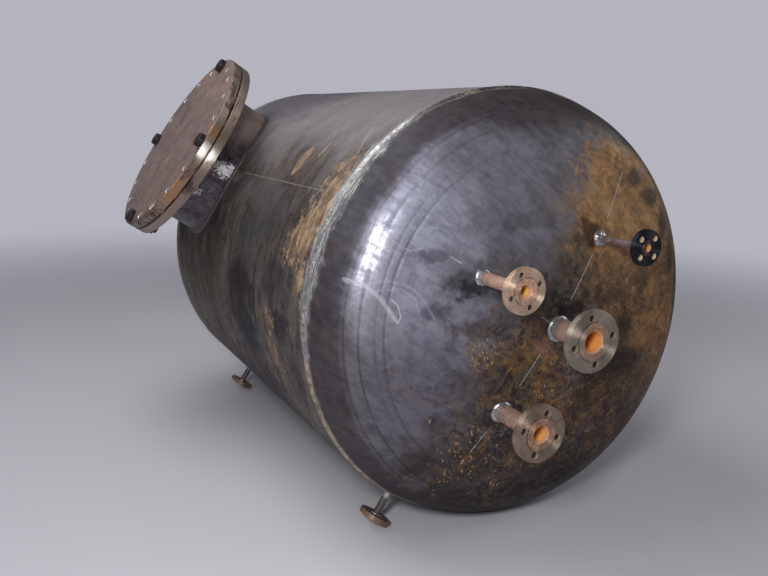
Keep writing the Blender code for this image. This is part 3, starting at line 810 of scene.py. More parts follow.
def addLowField(g, vector, colour):  # orange, plum, olive and soot in turn on the lower head, and thin wisps
    look = headLook
    field = g.spot(vector, look["fieldCentre"], look["fieldReach"], 0.4, 10.0)
    hue = g.grain(vector, 7.0, 7.0, 0.64, 2.2)
    colour = g.blend(g.times(g.soften(hue, 0.51, 0.64, 0.0, 0.50), field), colour, look["orange"])
    colour = g.blend(g.times(g.soften(hue, 0.49, 0.38, 0.0, 0.52), field), colour, look["plum"])
    grimy = g.grain(vector, 21.0, 7.0, 0.66, 2.4)
    colour = g.blend(g.times(g.soften(grimy, 0.51, 0.61, 0.0, 0.62), field), colour, look["olive"])
    colour = g.blend(g.times(g.soften(grimy, 0.49, 0.39, 0.0, 0.72), field), colour, look["soot"])
    swirl = g.group("thinWisps", Vector=vector, Scale=16.0, Width=0.014, Curl=1.8)[0]
    return g.blend(g.times(g.times(swirl, field), 0.80), colour, look["wispColour"])


def makeHeadSteel(name, front):  # colours first and shading noises late, which keeps the shader's stack small
    look = headLook
    g = newMaterial(name, {"Specular IOR Level": 0.25})
    vector = g.place()
    wrapped = g.group("wrapped", Vector=vector)
    out, around = wrapped["Out"], wrapped["Vector"]

    colour = g.blend(0.5, look["dark"], look["light"])
    if front:
        colour = addTints(g, vector, colour, look["tints"], 11.0)
    wobble = g.times(g.minus(g.grain(vector, 9.0, 6.0, 0.66), 0.5), 0.06)
    edge = g.soften(g.plus(out, wobble), look["edgeRadius"], look["edgeRadius"] + 0.030)
    sideways = g.soften(g.split(vector)[1], -0.2, 0.3, 0.20, 0.60)
    spotty = g.times(g.soften(g.grain(vector, 10.0, 6.0, 0.62, 1.4), 0.50, 0.66), sideways)
    colour = g.blend(g.times(edge, 0.85), colour, g.blend(spotty, look["edgeBrown"], look["edgeRust"]))
    amount = addSpots(g, vector, look["rustSpots"], 0.5, 14.0) if front else 0.22
    rust = g.rust(vector, 9.0, g.plus(amount, -0.10), 0.34, look["rustDark"], look["rustLight"])
    rustMask = g.times(rust["Mask"], 0.72)
    colour = g.blend(rustMask, colour, rust["Color"])
    dull = g.times(edge, 0.9)
    dashes = 0.0
    if front:
        brown = g.times(addSpots(g, vector, look["brownSpots"], 0.4, 10.0), 0.8, clamp=True)
        dull = g.larger(brown, dull)
        colour = addLowField(g, vector, colour)
        colour = addTints(g, vector, colour, look["overTints"], 14.0)
        for centre, reach, turn, along, across, share in goldLook:
            marks = g.group("scratchDashes", Vector=vector, Turn=turn, Along=along, Across=across,
                            Share=share)[0]
            dashes = g.larger(g.times(marks, g.spot(vector, centre, reach, 0.5, 14.0)), dashes)
        colour = g.blend(g.times(dashes, 0.70), colour, look["goldColour"])
        burnt = addSpots(g, vector, look["scorches"], 0.8, 26.0)
        colour = g.blend(g.times(burnt, 0.64, clamp=True), colour, look["scorch"])
    rings = 0.0
    deepest = max(depth for radius, half, depth in look["pressRings"])
    for radius, half, depth in look["pressRings"]:
        rings = g.larger(g.times(g.soften(g.away(out, radius), half, 0.0), depth / deepest), rings)
    rings = g.times(rings, g.soften(g.grain(vector, 3.0, 2.0), 0.35, 0.6, 0.20, 1.0))
    colour = g.blend(g.times(rings, 0.5), colour, look["ringDark"])

    scale = g.scale(vector, look["dark"], look["light"], 4.4, 0.8)
    wipes = []
    for turn, stretch in look["wipes"]:
        wipes.append(g.times(g.group("wipedGrain", Vector=vector, Turn=turn, Stretch=stretch)[0], 0.5))
    wiped = g.plus(*wipes)
    share = g.plus(g.times(scale["Share"], 0.30), g.times(g.soften(wiped, 0.38, 0.62), 0.40))
    mottle = g.soften(g.grain(vector, 15.0, 8.0, 0.58, 1.6), 0.36, 0.64)
    share = g.plus(share, g.times(mottle, 0.30))
    colour = shadedBy(g, share, colour, 0.37, 0.63)

    parts = g.split(vector)
    drift = g.plus(out, g.times(g.grain(vector, 5.0, 3.0), 0.02))
    sweeps = []
    for fineness, length in ((120.0, 3.5), (420.0, 12.0)):
        polar = g.join(g.times(drift, fineness), g.times(parts[2], length), g.times(parts[1], length))
        sweeps.append(g.grain(polar, 1.0, 5.0, 0.66))
    sweep = g.plus(g.times(sweeps[0], 0.45), g.times(sweeps[1], 0.55))
    glare = 0.0
    if front:
        # painted highlight: a streaky light colour where the key light's reflection falls; the steel is also
        # smoother and more metallic there
        spot = g.spot(vector, look["glareCentre"], look["glareReach"], 0.45, 14.0)
        scuffs = g.times(g.soften(sweep, 0.44, 0.58, 0.30, 1.0), g.soften(share, 0.25, 0.75, 0.45, 1.0))
        spot = g.times(spot, g.soften(out, 0.572, 0.562))
        glare = g.times(spot, scuffs)
        colour = g.blend(g.times(glare, 0.85), colour, look["glareColour"])

    zone = g.group("weldZone", Vector=vector, Around=around)
    brushed = zone["Brushed"]
    colour = g.blend(g.times(zone["Tan"], 0.42), colour, zoneLook["tan"])
    colour = g.blend(brushed, colour, zoneLook["colour"])
    chalk = addChalk(g, vector) if front else 0.0
    if front:
        colour = g.blend(g.times(chalk, 0.85), colour, look["chalk"])
    cover = g.larger(g.larger(rustMask, chalk), dashes)
    metal = g.times(0.42, g.minus(1.0, g.times(dull, 0.85)))
    metal = g.blendValue(brushed, g.blendValue(glare, metal, 1.0), 0.45)
    metal = g.times(g.minus(1.0, cover), metal)
    rough = g.plus(g.soften(share, 0.0, 1.0, 0.58, 0.44), g.soften(sweep, 0.38, 0.64, 0.05, -0.06))
    rough = g.blendValue(glare, rough, 0.36)
    rough = g.blendValue(g.times(edge, 0.9), rough, 0.66)
    rough = g.blendValue(rustMask, g.blendValue(brushed, rough, 0.34), 0.70)
    height = g.plus(g.times(scale["Height"], 0.9), g.times(sweep, 0.30))
    return g.finished(colour, metal, rough, height, 0.0009)


# Tank body

headRadius = tankRadius - tankLook["headStep"]
arcGap = tankLook["crownRadius"] - tankLook["knuckleRadius"]
crownTurn = math.asin((headRadius - tankLook["knuckleRadius"]) / arcGap)
crownCentreX = tankLook["tangentX"] - arcGap * math.cos(crownTurn)


def crownX(distance):
    return crownCentreX + math.sqrt(tankLook["crownRadius"] ** 2 - distance ** 2)


def stray(x, y, z):  # a slow, small wander of the plate, and its draw-in beside the round welds
    value = noise.noise(Vector((x * 2.3, y * 2.3, z * 2.3)))
    value += 0.5 * noise.noise(Vector((x * 5.1, y * 5.1, z * 5.1 + 4)))
    drawn = math.exp(-((abs(x) - tankLook["seamX"]) / tankLook["drawInReach"]) ** 2)
    return value * tankLook["unevenness"] - drawn * tankLook["drawIn"]


def pressDepth(distance):
    rings = headLook["pressRings"]
    return sum(depth * math.exp(-((distance - radius) / half) ** 2) for radius, half, depth in rings)


def headProfile(offset, edgeX, spacing, pressed=False):  # (radius, x), from the pole to the edge
    crown, knuckle = tankLook["crownRadius"] + offset, tankLook["knuckleRadius"] + offset
    knuckleMiddle = headRadius - tankLook["knuckleRadius"]
    coarse, fine = spacing
    zoneStart, zoneEnd = tankLook["ringZone"]
    points = []
    bend = crown * crownTurn
    edgeTurn = math.acos((edgeX - tankLook["tangentX"]) / knuckle)
    whole = bend + knuckle * (edgeTurn - crownTurn)
    along = 0.0
    while along < whole:
        if along < bend:
            angle = along / crown
            radius, x = crown * math.sin(angle), crownCentreX + crown * math.cos(angle)
        else:
            angle = crownTurn + (along - bend) / knuckle
            radius = knuckleMiddle + knuckle * math.sin(angle)
            x = tankLook["tangentX"] + knuckle * math.cos(angle)
        deep = pressDepth(radius) if pressed else 0
        points.append((radius - deep * math.sin(angle), x - deep * math.cos(angle)))
        if radius < zoneStart:  # shorter steps just before the fine rows
            along += min(coarse, max(tankLook["ringApproach"] - radius, fine))
        else:
            along += fine if radius < zoneEnd else coarse
    points.append((knuckleMiddle + knuckle * math.sin(edgeTurn), edgeX))
    return points


def axialRow(radius, x, sign=1, uneven=False):  # a ring about the tank's X axis
    row = []
    for angle, z, side in roundSteps(tankLook["segments"]):
        y = -side
        grown = radius + (stray(sign * x, y * radius, z * radius) if uneven else 0)
        row.append(Vector((sign * x, y * grown, z * grown)))
    return row


def makeShell():
    half = tankLook["seamX"] - tankLook["grooveHalf"]
    innerHalf = tankLook["seamX"] - tankLook["rootHalf"]
    inner = tankRadius - tankLook["wall"]
    middles = [half * step / 22 for step in range(-19, 20)]
    ends = [half - reach for reach in tankLook["endRows"]]
    places = [-x for x in ends] + middles + ends[::-1]
    rows = [axialRow(tankRadius, x, 1, True) for x in places]
    rows += [axialRow(inner, innerHalf), axialRow(inner, -innerHalf)]
    mesh = meshFromRows(rows, True)
    return finishPiece("shell_skin", mesh, plainAxes, [makeShellSteel()], ["shell"])


def makeHead(name, sign, material):
    outer = headProfile(0, tankLook["seamX"] + tankLook["grooveHalf"], tankLook["headRows"], True)
    inner = headProfile(-tankLook["wall"], tankLook["seamX"] + tankLook["rootHalf"], tankLook["innerRows"])
    rows = [axialRow(radius, x, sign, radius > tankLook["pole"]) for radius, x in outer]
    rows += [axialRow(radius, x, sign) for radius, x in inner[::-1]]
    return finishPiece(name + "_skin", meshFromRows(rows, False), plainAxes, [material], [name])


shellPiece = makeShell()
frontHead = makeHead("head_front", 1, makeHeadSteel("frontHeadSteel", True))
makeHead("head_rear", -1, makeHeadSteel("rearHeadSteel", False))
print("shell and heads made")

# Weld metal

weldLook = {
    "dark": tint(124, 123, 126),
    "light": tint(232, 233, 236),
    "dull": tint(96, 88, 82),
    "rustDark": tint(104, 88, 76),
    "rustLight": tint(176, 156, 134),
    "brightReach": (3.0, 0.48, 1.0),     # along, round and out, from the weld zone's widest place
    "tanCentre": (tankLook["seamX"], 1.30, tankRadius),
    "tanReach": (3.0, 0.42, 1.0),
}
seamLook = {
    "half": 0.0078,             # half the bead's width
    "crown": 0.0036,            # height over the plate before the ripples
    "flattened": 0.92,          # share of the height that is left
    "highest": 0.0025,          # no ripple stands higher over the shell than this
    "wander": 0.16,             # share of the width that drifts
    "closing": 200,             # steps in which the run narrows to meet its own start
    "turnover": 0.35,           # share of the half width where the shell's round gives way to the head's
    "sections": 9,
    "root": [(0.0042, 0.0008), (0.0, 0.0078), (-0.0042, 0.0008)],     # along the tank, depth
    "headSide": 0.0040,         # the root lies this much deeper on the head's side
}
longSeamLook = {
    "turn": math.radians(27),   # above level, on the side away from the manway
    "half": 0.006,
    "crown": 0.0022,
    "flattened": 0.85,
    "wander": 0.14,
    "taper": 0.006,             # length of the run-out at each end
    "sections": 9,
    "rootDepth": 0.0045,
    "rootHalf": 0.0015,
}
filletLook = {
    "sections": 7,
    "fewestSteps": 48,
    "wander": 0.2,              # share of the leg that drifts round the pipe
    "swell": 0.22,              # the bead's fullness, as a share of the leg
    "lean": 0.7,                # how that fullness is shared out and up
    "pipeSink": 0.0002,         # metres that the weld lies in the pipe
    "toe": 0.001,               # the foot's hidden edge, in from the toe and down
    "depth": 0.002,
}


def makeWeldSteel(name, rustAmount, shine, zoned=False):
    look = weldLook
    g = newMaterial(name)
    vector = g.place()
    scale = g.scale(vector, look["dark"], look["light"], 24.0, 1.2)
    base = scale["Color"]
    amount, metal = rustAmount, 1.0
    if zoned:  # bright towards the manway side, tan lower down, dull elsewhere
        around = g.group("wrapped", Vector=vector)["Vector"]
        bright = g.spot(around, zoneLook["wideCentre"], look["brightReach"], 0.3, 14.0)
        low = g.spot(around, look["tanCentre"], look["tanReach"], 0.3, 14.0)
        base = g.blend(bright, g.blend(0.75, base, look["dull"]), base)
        amount = g.plus(g.times(low, 0.5), g.minus(rustAmount, g.times(bright, 0.35)))
        patchy = g.soften(g.grain(vector, 16.0, 4.0, 0.66), 0.40, 0.58, 0.25, 1.0)
        flecks = g.soften(g.grain(vector, 150.0, 4.0, 0.66), 0.47, 0.57)
        flecks = g.times(g.times(flecks, patchy), bright)
        base = g.blend(flecks, base, zoneLook["colour"])
        metal = g.minus(1.0, g.times(flecks, 0.6))
    rust = g.rust(vector, 11.0, amount, 0.5, look["rustDark"], look["rustLight"])
    mask = g.times(rust["Mask"], 0.85)
    colour = g.blend(mask, base, rust["Color"])
    metal = g.times(metal, g.minus(1.0, mask))
    rough = g.soften(scale["Share"], 0.0, 1.0, shine + 0.18, shine)
    return g.finished(colour, metal, g.blendValue(mask, rough, 0.75), scale["Height"], 0.0006)


def makeHeadSeam(name, sign, material):  # the round weld between shell and head
    look = seamLook
    sections, turnover = look["sections"], look["turnover"]
    steps = int(2 * math.pi * tankRadius / beadLook["ripplePitch"] * beadLook["stepsPerRipple"])
    rows = [[] for _ in range(sections + len(look["root"]))]
    knuckle, tangentX = tankLook["knuckleRadius"], tankLook["tangentX"]
    for step, (angle, z, side) in enumerate(roundSteps(steps)):
        y = -side
        along = tankRadius * angle
        blendIn = min(1.0, (steps - step) / look["closing"])
        width = look["half"] * (1 + look["wander"] * noise.noise(Vector((along * 11, sign, 2.2))) * blendIn)
        for section in range(sections):
            across = -1 + 2 * section / (sections - 1)
            x = tankLook["seamX"] + across * width
            overHead = math.sqrt(knuckle ** 2 - (x - tangentX) ** 2) + headRadius - knuckle
            share = min(1, max(0, across + turnover) / (2 * turnover))
            surface = tankRadius + (overHead - tankRadius) * share
            surface += stray(sign * x, y * tankRadius, z * tankRadius)
            raised = look["crown"] * beadHeight(along, across, sign * 3.0) * look["flattened"]
            radius = min(surface - beadLook["sink"] + raised, tankRadius + look["highest"])
            rows[section].append(Vector((sign * x, y * radius, z * radius)))
        for extra, (x, depth) in enumerate(look["root"]):
            radius = tankRadius - depth - (look["headSide"] if x > 0 else 0.0)
            rows[sections + extra].append(Vector((sign * (tankLook["seamX"] + x), y * radius, z * radius)))
    finishPiece(name + "_bead", meshFromRows(rows, True), plainAxes, [material], [name], 60)


seamSteel = makeWeldSteel("seamSteel", 0.30, 0.30, True)
makeHeadSeam("seam_front", 1, seamSteel)
makeHeadSeam("seam_rear", -1, seamSteel)


def makeLongSeam():  # the lengthwise weld
    look = longSeamLook
    out = Vector((0, math.cos(look["turn"]), math.sin(look["turn"])))
    low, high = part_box("seam_long")
    halfLength = (high.x - low.x) / 2
    sections, rootX = look["sections"], tankRadius - look["rootDepth"]
    steps = int(2 * halfLength / beadLook["ripplePitch"] * beadLook["stepsPerRipple"])
    mesh = bmesh.new()
    loops = []
    for step in range(steps + 1):
        x = -halfLength + 2 * halfLength * step / steps
        taper = min(1.0, (halfLength - abs(x)) / look["taper"] + 0.15)
        loop = []
        for section in range(sections):
            across = -1 + 2 * section / (sections - 1)
            drift = 1 + look["wander"] * noise.noise(Vector((x * 11, 5.0, 1.0)))
            side = across * look["half"] * drift * taper
            surface = math.sqrt(tankRadius ** 2 - side ** 2)
            surface += stray(x, out.y * tankRadius, out.z * tankRadius)
            raised = look["crown"] * beadHeight(x + 2, across, 11.0) * taper * look["flattened"]
            loop.append(mesh.verts.new((surface - beadLook["sink"] + raised, side, x)))
        loop.append(mesh.verts.new((rootX, look["rootHalf"], x)))
        loop.append(mesh.verts.new((rootX, -look["rootHalf"], x)))
        loops.append(loop)
    for first, second in zip(loops, loops[1:]):
        for index in range(len(first)):
            after = (index + 1) % len(first)
            mesh.faces.new((first[index], first[after], second[after], second[index])).smooth = True
    mesh.faces.new(loops[0])
    mesh.faces.new(loops[-1])
    bmesh.ops.recalc_face_normals(mesh, faces=mesh.faces)
    finishPiece("seam_long_bead", mesh, axesAt(Vector(), frontWay, out), [seamSteel], ["seam_long"],
                60)


makeLongSeam()
print("tank seams made")


def filletRows(pipeRadius, leg, surface, seed):  # a weld round a pipe, down to a surface
    look = filletLook
    sections, lean, inside = look["sections"], look["lean"], pipeRadius - look["pipeSink"]
    around = 2 * math.pi * (pipeRadius + leg / 2)
    steps = max(look["fewestSteps"], int(around / beadLook["ripplePitch"] * beadLook["stepsPerRipple"]))
    rows = [[] for _ in range(sections + 2)]
    for step, (angle, x, y) in enumerate(roundSteps(steps)):
        size = leg * (1 + look["wander"] * noise.noise(Vector((x * 2.1, y * 2.1, seed))))
        top = surface(pipeRadius * x, pipeRadius * y) + size
        toeRadius = pipeRadius + size
        foot = surface(toeRadius * x, toeRadius * y)
        toe = foot - beadLook["sink"]
        for section in range(sections):
            t = section / (sections - 1)
            swell = look["swell"] * size * beadHeight(around * step / steps, 2 * t - 1, seed)
            radius = inside + (toeRadius - pipeRadius) * t + swell * lean
            rows[section].append(Vector((x * radius, y * radius, top + (toe - top) * t + swell * lean)))
        for extra, radius in enumerate((toeRadius - look["toe"], inside)):
            rows[sections + extra].append(Vector((x * radius, y * radius, foot - look["depth"])))
    return rows


def flatSurface(height):
    return lambda x, y: height


# Nozzle steels

pipeLook = {
    "rustDark": tint(146, 108, 88),
    "rustLight": tint(226, 182, 156),
    "heated": (0.034, 0.026),      # the burnt collar fades out between these heights over the plate
    "heatEdge": (0.024, 0.030),
    "silverDark": tint(126, 118, 124),
    "silverLight": tint(222, 216, 220),
    "edgeColour": tint(96, 78, 80),
}


def makePipeSteel(name, colour, rustAmount, baseHeight):  # scorched and spattered near the weld
    look = pipeLook
    g = newMaterial(name)
    vector = g.place()
    scale = g.scale(vector, tuple(part * 0.60 for part in colour), colour, 20.0, 0.9)
    rust = g.rust(vector, 26.0, rustAmount, 0.5, look["rustDark"], look["rustLight"])
    mask = g.times(rust["Mask"], 0.75)
    colourOut = g.blend(mask, scale["Color"], rust["Color"])
    rise = g.minus(g.split(vector)[2], baseHeight)
    wavy = g.plus(rise, g.times(g.grain(vector, 45.0, 4.0), 0.014))
    heated = g.soften(wavy, *look["heated"])
    edge = g.times(heated, g.soften(wavy, *look["heatEdge"]))
    silver = g.blend(scale["Share"], look["silverDark"], look["silverLight"])
    colourOut = g.blend(g.times(heated, 0.85), colourOut, silver)
    colourOut = g.blend(g.times(edge, 0.4), colourOut, look["edgeColour"])
    metal = g.minus(0.55, g.times(mask, 0.45))
    metal = g.blendValue(heated, metal, 0.6)
    rough = g.blendValue(mask, g.soften(scale["Share"], 0.0, 1.0, 0.44, 0.30), 0.50)
    rough = g.blendValue(heated, rough, 0.36)
    return g.finished(colourOut, metal, rough, g.plus(scale["Height"], rust["Height"]), 0.0006)


def makeBoreRust(name, light, dark, back=None, face=None, mouth=None, metal=0.0):
    # painted shade darkens towards the back, and pale above the mouth, where they are given
    g = newMaterial(name)
    vector = g.place()
    colour = g.scale(vector, dark, light, 14.0, 0.8)["Color"]
    if back is not None:
        # painted shade: the hole's wall darkens towards its back
        depth = g.soften(g.split(vector)[2], face, back)
        colour = g.blend(g.times(depth, 0.92), colour, tint(30, 26, 26))
    if mouth is not None:
        along = g.plus(g.split(vector)[2], g.times(g.grain(vector, 120.0), 0.004))
        colour = g.blend(g.soften(along, mouth, mouth + 0.003), colour, tint(212, 164, 134))
    smooth = 0.65 - 0.4 * metal
    rough = g.soften(g.grain(vector, 90.0), 0.3, 0.7, smooth, smooth + 0.25)
    return g.finished(colour, metal, rough, g.grain(vector, 300.0, 4.0), 0.0006)


def makeFlangeSteel(name, colour, rustAmount, raisedRadius, raisedColour, metal):
    g = newMaterial(name, {"Anisotropic": 0.95, "Anisotropic Rotation": 0.25})  # tool marks run round
    vector = g.place()
    parts = g.split(vector)
    out = g.length(g.join(parts[0], parts[1]))
    lathed = g.group("machinedRings", Vector=vector, Pitch=0.0011)
    scale = g.scale(vector, tuple(part * 0.42 for part in colour), colour, 16.0, 1.1)
    turned = g.blend(g.soften(lathed["Band"], 0.40, 0.62, 0.0, 0.6), scale["Color"], colour)
    inner = g.plus(out, g.times(g.minus(g.grain(vector, 40.0), 0.5), 0.010))
    onRaised = g.soften(inner, raisedRadius + 0.002, raisedRadius - 0.003)
    amount = g.blendValue(onRaised, rustAmount, rustAmount + 0.42)
    rust = g.rust(vector, 28.0, amount, 0.5, tint(128, 86, 66), raisedColour)
    mask = g.times(rust["Mask"], 0.72)
    colourOut = g.blend(mask, turned, rust["Color"])
    shoulder = g.soften(g.away(out, raisedRadius), 0.0016, 0.0003)
    colourOut = g.blend(g.times(shoulder, 0.6), colourOut, tint(60, 46, 40))
    bare = g.minus(metal, g.times(mask, metal * 0.8))
    rough = g.blendValue(mask, g.soften(scale["Share"], 0.0, 1.0, 0.54, 0.46), 0.62)
    height = g.plus(g.times(lathed["Height"], 0.5), g.times(rust["Height"], 0.8))
    return g.finished(colourOut, bare, rough, height, 0.00025)


nozzleLook = {
    # a head nozzle's boreColour is rust made lighter than rust: painted light deep inside the bore
    "side_nozzle": {
        "bore": 0.01425, "thick": 0.016, "raised": 0.034, "circle": 0.0425, "hole": 0.007, "turn": 20.7,
        "leg": 0.0065, "pipeColour": tint(226, 190, 172), "pipeRust": 0.50,
        "flangeColour": tint(236, 208, 186), "flangeRust": 0.42, "raisedColour": tint(222, 176, 146),
        "boreColour": tint(255, 208, 104), "metal": 0.75, "mouth": 0.005},
    "top_nozzle": {
        "bore": 0.00865, "thick": 0.014, "raised": 0.0225, "circle": 0.0325, "hole": 0.007, "turn": 46.0,
        "leg": 0.0070, "pipeColour": tint(150, 132, 134), "pipeRust": 0.30, "flangeColour": tint(44, 46, 56),
        "flangeRust": 0.00, "raisedColour": tint(132, 104, 84), "boreColour": tint(250, 182, 84),
        "metal": 0.60, "footLeg": 0.0135, "holeColours": (tint(240, 222, 190), tint(170, 142, 108)),
        "holePaintedShade": -1.0, "slot": "dark_flange"},
    "centre_nozzle": {
        "bore": 0.02725, "thick": 0.018, "raised": 0.051, "circle": 0.0625, "hole": 0.009, "turn": 10.6,
        "leg": 0.0085, "pipeColour": tint(214, 180, 168), "pipeRust": 0.42,
        "flangeColour": tint(178, 168, 154), "flangeRust": 0.18, "raisedColour": tint(222, 160, 122),
        "boreColour": tint(252, 170, 86), "metal": 0.75},
    "low_nozzle": {
        "bore": 0.02155, "thick": 0.018, "raised": 0.044, "circle": 0.055, "hole": 0.009, "turn": -16.4,
        "leg": 0.0075, "pipeColour": tint(216, 182, 166), "pipeRust": 0.45,
        "flangeColour": tint(166, 148, 134), "flangeRust": 0.26, "raisedColour": tint(212, 160, 130),
        "boreColour": tint(255, 190, 98), "metal": 0.75, "mouth": 0.006},
}
shellNozzleLook = {
    "bore": 0.00865, "thick": 0.014, "raised": 0.0225, "circle": 0.0325, "hole": 0.007, "turn": 45,
    "leg": 0.0065, "pipeColour": tint(110, 100, 100), "pipeRust": 0.25, "flangeColour": tint(150, 130, 116),
    "flangeRust": 0.42, "raisedColour": tint(170, 130, 104), "boreColour": tint(190, 130, 80), "metal": 0.5,
    "drillReach": 0.03}

nozzleShared = {
    "raisedHeight": 0.002,
    "recess": 0.005,            # from the raised face to the pipe's end
    "inside": 0.015,            # how far the pipe stands in the tank
    "gap": 0.0003,              # between parts that fit over each other
    "segments": 48,
    "flangeSegments": 96,
    "edge": 0.0012,
    "mouth": 0.002,             # length of the pale lip inside the bore
    "holePaintedShade": 0.4,            # painted shade makes a bolt hole dark this far from its back, in thicknesses
    "holeColours": (tint(190, 172, 146), tint(112, 94, 78)),
    "sealColours": (tint(232, 176, 140), tint(176, 122, 92)),
    "slot": "flange",
    "chamfer": 0.0007,
    "drillReach": 0.05,         # a pipe's hole is cut this far up and down from the plate
}
sealLook = {"sections": 6, "steps": 72, "size": 0.0032, "wander": 0.15, "cover": 0.75, "bead": 0.0006,
            "sink": 0.0001}


def makeNozzle(name, look, place, surface, seat, reach, pipeRadius, flangeRadius, weldSteel):
    look = {**nozzleShared, **look}
    face = seat + reach
    back = face - look["thick"]
    top = face + look["raisedHeight"]
    hole = pipeRadius + look["gap"]
    low = seat - tankLook["wall"] - look["inside"]
    end = top - look["recess"]
    bore, edge, raised = look["bore"], look["edge"], look["raised"]

    pipeSteel = makePipeSteel(name + "PipeSteel", look["pipeColour"], look["pipeRust"], seat)
    # the bore's colour: rust, lightened on the head nozzles as painted light inside the bore
    boreDark = tuple(part * 0.70 for part in look["boreColour"])
    boreRustAndPaintedLight = makeBoreRust(name + "BoreRust", look["boreColour"], boreDark,
                            mouth=face - look["recess"] - look["mouth"])
    tube = [(pipeRadius, low), (pipeRadius, end - 0.001), (pipeRadius - 0.001, end), (bore, end),
            (bore, low)]
    mesh = turnedMesh(tube, look["segments"], [0, 0, 1, 1, 0])
    finishPiece(name + "_tube", mesh, place, [pipeSteel, boreRustAndPaintedLight], [name + "_pipe"])

    flangeSteel = makeFlangeSteel(name + "FlangeSteel", look["flangeColour"], look["flangeRust"], raised,
                                  look["raisedColour"], look["metal"])
    # where the painted shade inside the bolt holes is darkest
    deep = back + look["holePaintedShade"] * look["thick"]
    holeSteel = makeBoreRust(name + "HoleRust", *look["holeColours"], deep, face)
    sealSteel = makeBoreRust(name + "SealSteel", *look["sealColours"])
    corners = [(hole, back), (flangeRadius, back, edge), (flangeRadius, face, edge), (raised, face),
               (raised, top, 0.0006), (hole, top, 0.0008)]
    mesh = turnedMesh(roundedProfile(corners), look["flangeSegments"])
    flange = finishPiece(name + "_ring", mesh, place, [flangeSteel, holeSteel], [name + "_flange"])
    spots = boltPlaces(place, look["circle"], math.radians(look["turn"]), 4)
    cutHoles(flange, [(drill(look["hole"], back, face, look["chamfer"]), spot) for spot in spots])

    flipped = place @ Matrix.Rotation(math.pi, 4, "X")
    foot = filletRows(pipeRadius, look.get("footLeg", look["leg"]), surface, seat * 31 + reach * 7)
    behind = filletRows(pipeRadius, look["leg"] * 0.8, flatSurface(-back), reach * 13)
    seal = sealRows(bore, hole, end)
    welds = [("_foot_weld", foot, place, weldSteel, [name + "_weld"]),
             ("_back_weld", behind, flipped, weldSteel, [name + "_flange_weld"]),
             ("_seal_weld", seal, place, sealSteel, ())]
    for label, rows, where, steel, nodes in welds:
        finishPiece(name + label, meshFromRows(rows, True), where, [steel], nodes, 60)
    return drill(hole, seat - look["drillReach"], seat + look["drillReach"]), place


def sealRows(bore, hole, end):  # the small weld inside the flange, over the pipe's end
    look = sealLook
    sections, sink = look["sections"], look["sink"]
    inner = hole - (hole - bore) * look["cover"]
    rows = [[] for _ in range(sections + 1)]
    for angle, x, y in roundSteps(look["steps"]):
        size = look["size"] * (1 + look["wander"] * noise.noise(Vector((x * 3, y * 3, hole * 99))))
        for section in range(sections):
            t = section / (sections - 1)
            lift = look["bead"] * beadHeight(angle * hole, 2 * t - 1, hole * 50)
            radius = inner + (hole - sink - inner) * t - lift
            rows[section].append(Vector((radius * x, radius * y, end - sink + size * t + lift)))
        rows[sections].append(Vector(((hole - sink) * x, (hole - sink) * y, end - sink)))
    return rows


nozzleWeldSteel = makeWeldSteel("nozzleWeldSteel", 0.10, 0.22)
headHoles = []
for nozzleName, look in nozzleLook.items():
    pipeLow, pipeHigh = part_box(nozzleName + "_pipe")
    ringLow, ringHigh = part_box(nozzleName + "_flange")
    middle = (pipeLow + pipeHigh) / 2 - tankMiddle
    middle.x = 0
    seat = crownX(middle.length)
    reach = ringHigh.x - tankMiddle.x - nozzleShared["raisedHeight"] - seat

    def headSurface(x, y, middle=middle):
        return crownX(math.hypot(middle.z + x, middle.y - y))

    pipeRadius = (pipeHigh.z - pipeLow.z) / 2
    flangeRadius = (ringHigh.z - ringLow.z) / 2
    headHoles.append(makeNozzle(nozzleName, look, axesAt(middle, frontWay, upWay), headSurface, seat,
                                reach, pipeRadius, flangeRadius, nozzleWeldSteel))
cutHoles(frontHead, headHoles)
print("head nozzles made")


def shellSurface(x, y):
    return math.sqrt(tankRadius ** 2 - y ** 2)


shellHoles = []
for nozzleName in ("shell_nozzle_front", "shell_nozzle_rear"):
    pipeLow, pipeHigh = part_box(nozzleName + "_pipe")
    flangeLow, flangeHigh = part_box(nozzleName + "_flange")
    x = boxMiddle(nozzleName + "_pipe").x - tankMiddle.x
    pipeRadius = (pipeHigh.x - pipeLow.x) / 2
    flangeRadius = (flangeHigh.x - flangeLow.x) / 2
    # the flange's lowest rim reaches down to the floor
    reach = (tankMiddle.z - flangeRadius * -shellNozzleWay.y) / -shellNozzleWay.z - tankRadius
    shellHoles.append(makeNozzle(nozzleName, shellNozzleLook,
                                 axesAt(Vector((x, 0, 0)), shellNozzleWay, frontWay), shellSurface,
                                 tankRadius, reach, pipeRadius, flangeRadius, nozzleWeldSteel))
print("shell nozzles made")

# Manway

manwayLook = {
    "face": 0.802,              # the cover's face, from the tank's axis
    "coverThick": 0.028,
    "spacing": 0.007,           # between cover and flange
    "flangeThick": 0.030,
    "rim": 0.3575,
    "raised": 0.305,
    "raisedHeight": 0.002,
    "neck": 0.254,
    "neckWall": 0.008,
    "neckRecess": 0.006,        # from the flange's raised face to the neck's end
    "neckInside": 0.010,        # how far the neck stands in the tank
    "leg": 0.010,
    "circle": 0.325,
    "hole": 0.0165,
    "holes": 20,
    "bolts": 4,
    "turn": math.radians(2.0),
    "chamfer": 0.001,
    "gasketBore": 0.262,
    "gasketRadius": 0.300,
    "segments": 192,
    "neckDrill": (0.5, 0.7, 0, 96),     # low, high, chamfer, segments
    "edge": 0.0018,
    "boltRadius": 0.015,
    "boltSegments": 36,
    "across": 0.046,
    "boltHead": 0.0187,
    "nut": 0.024,
    "tail": 0.012,
    "tailChamfer": 0.002,
}
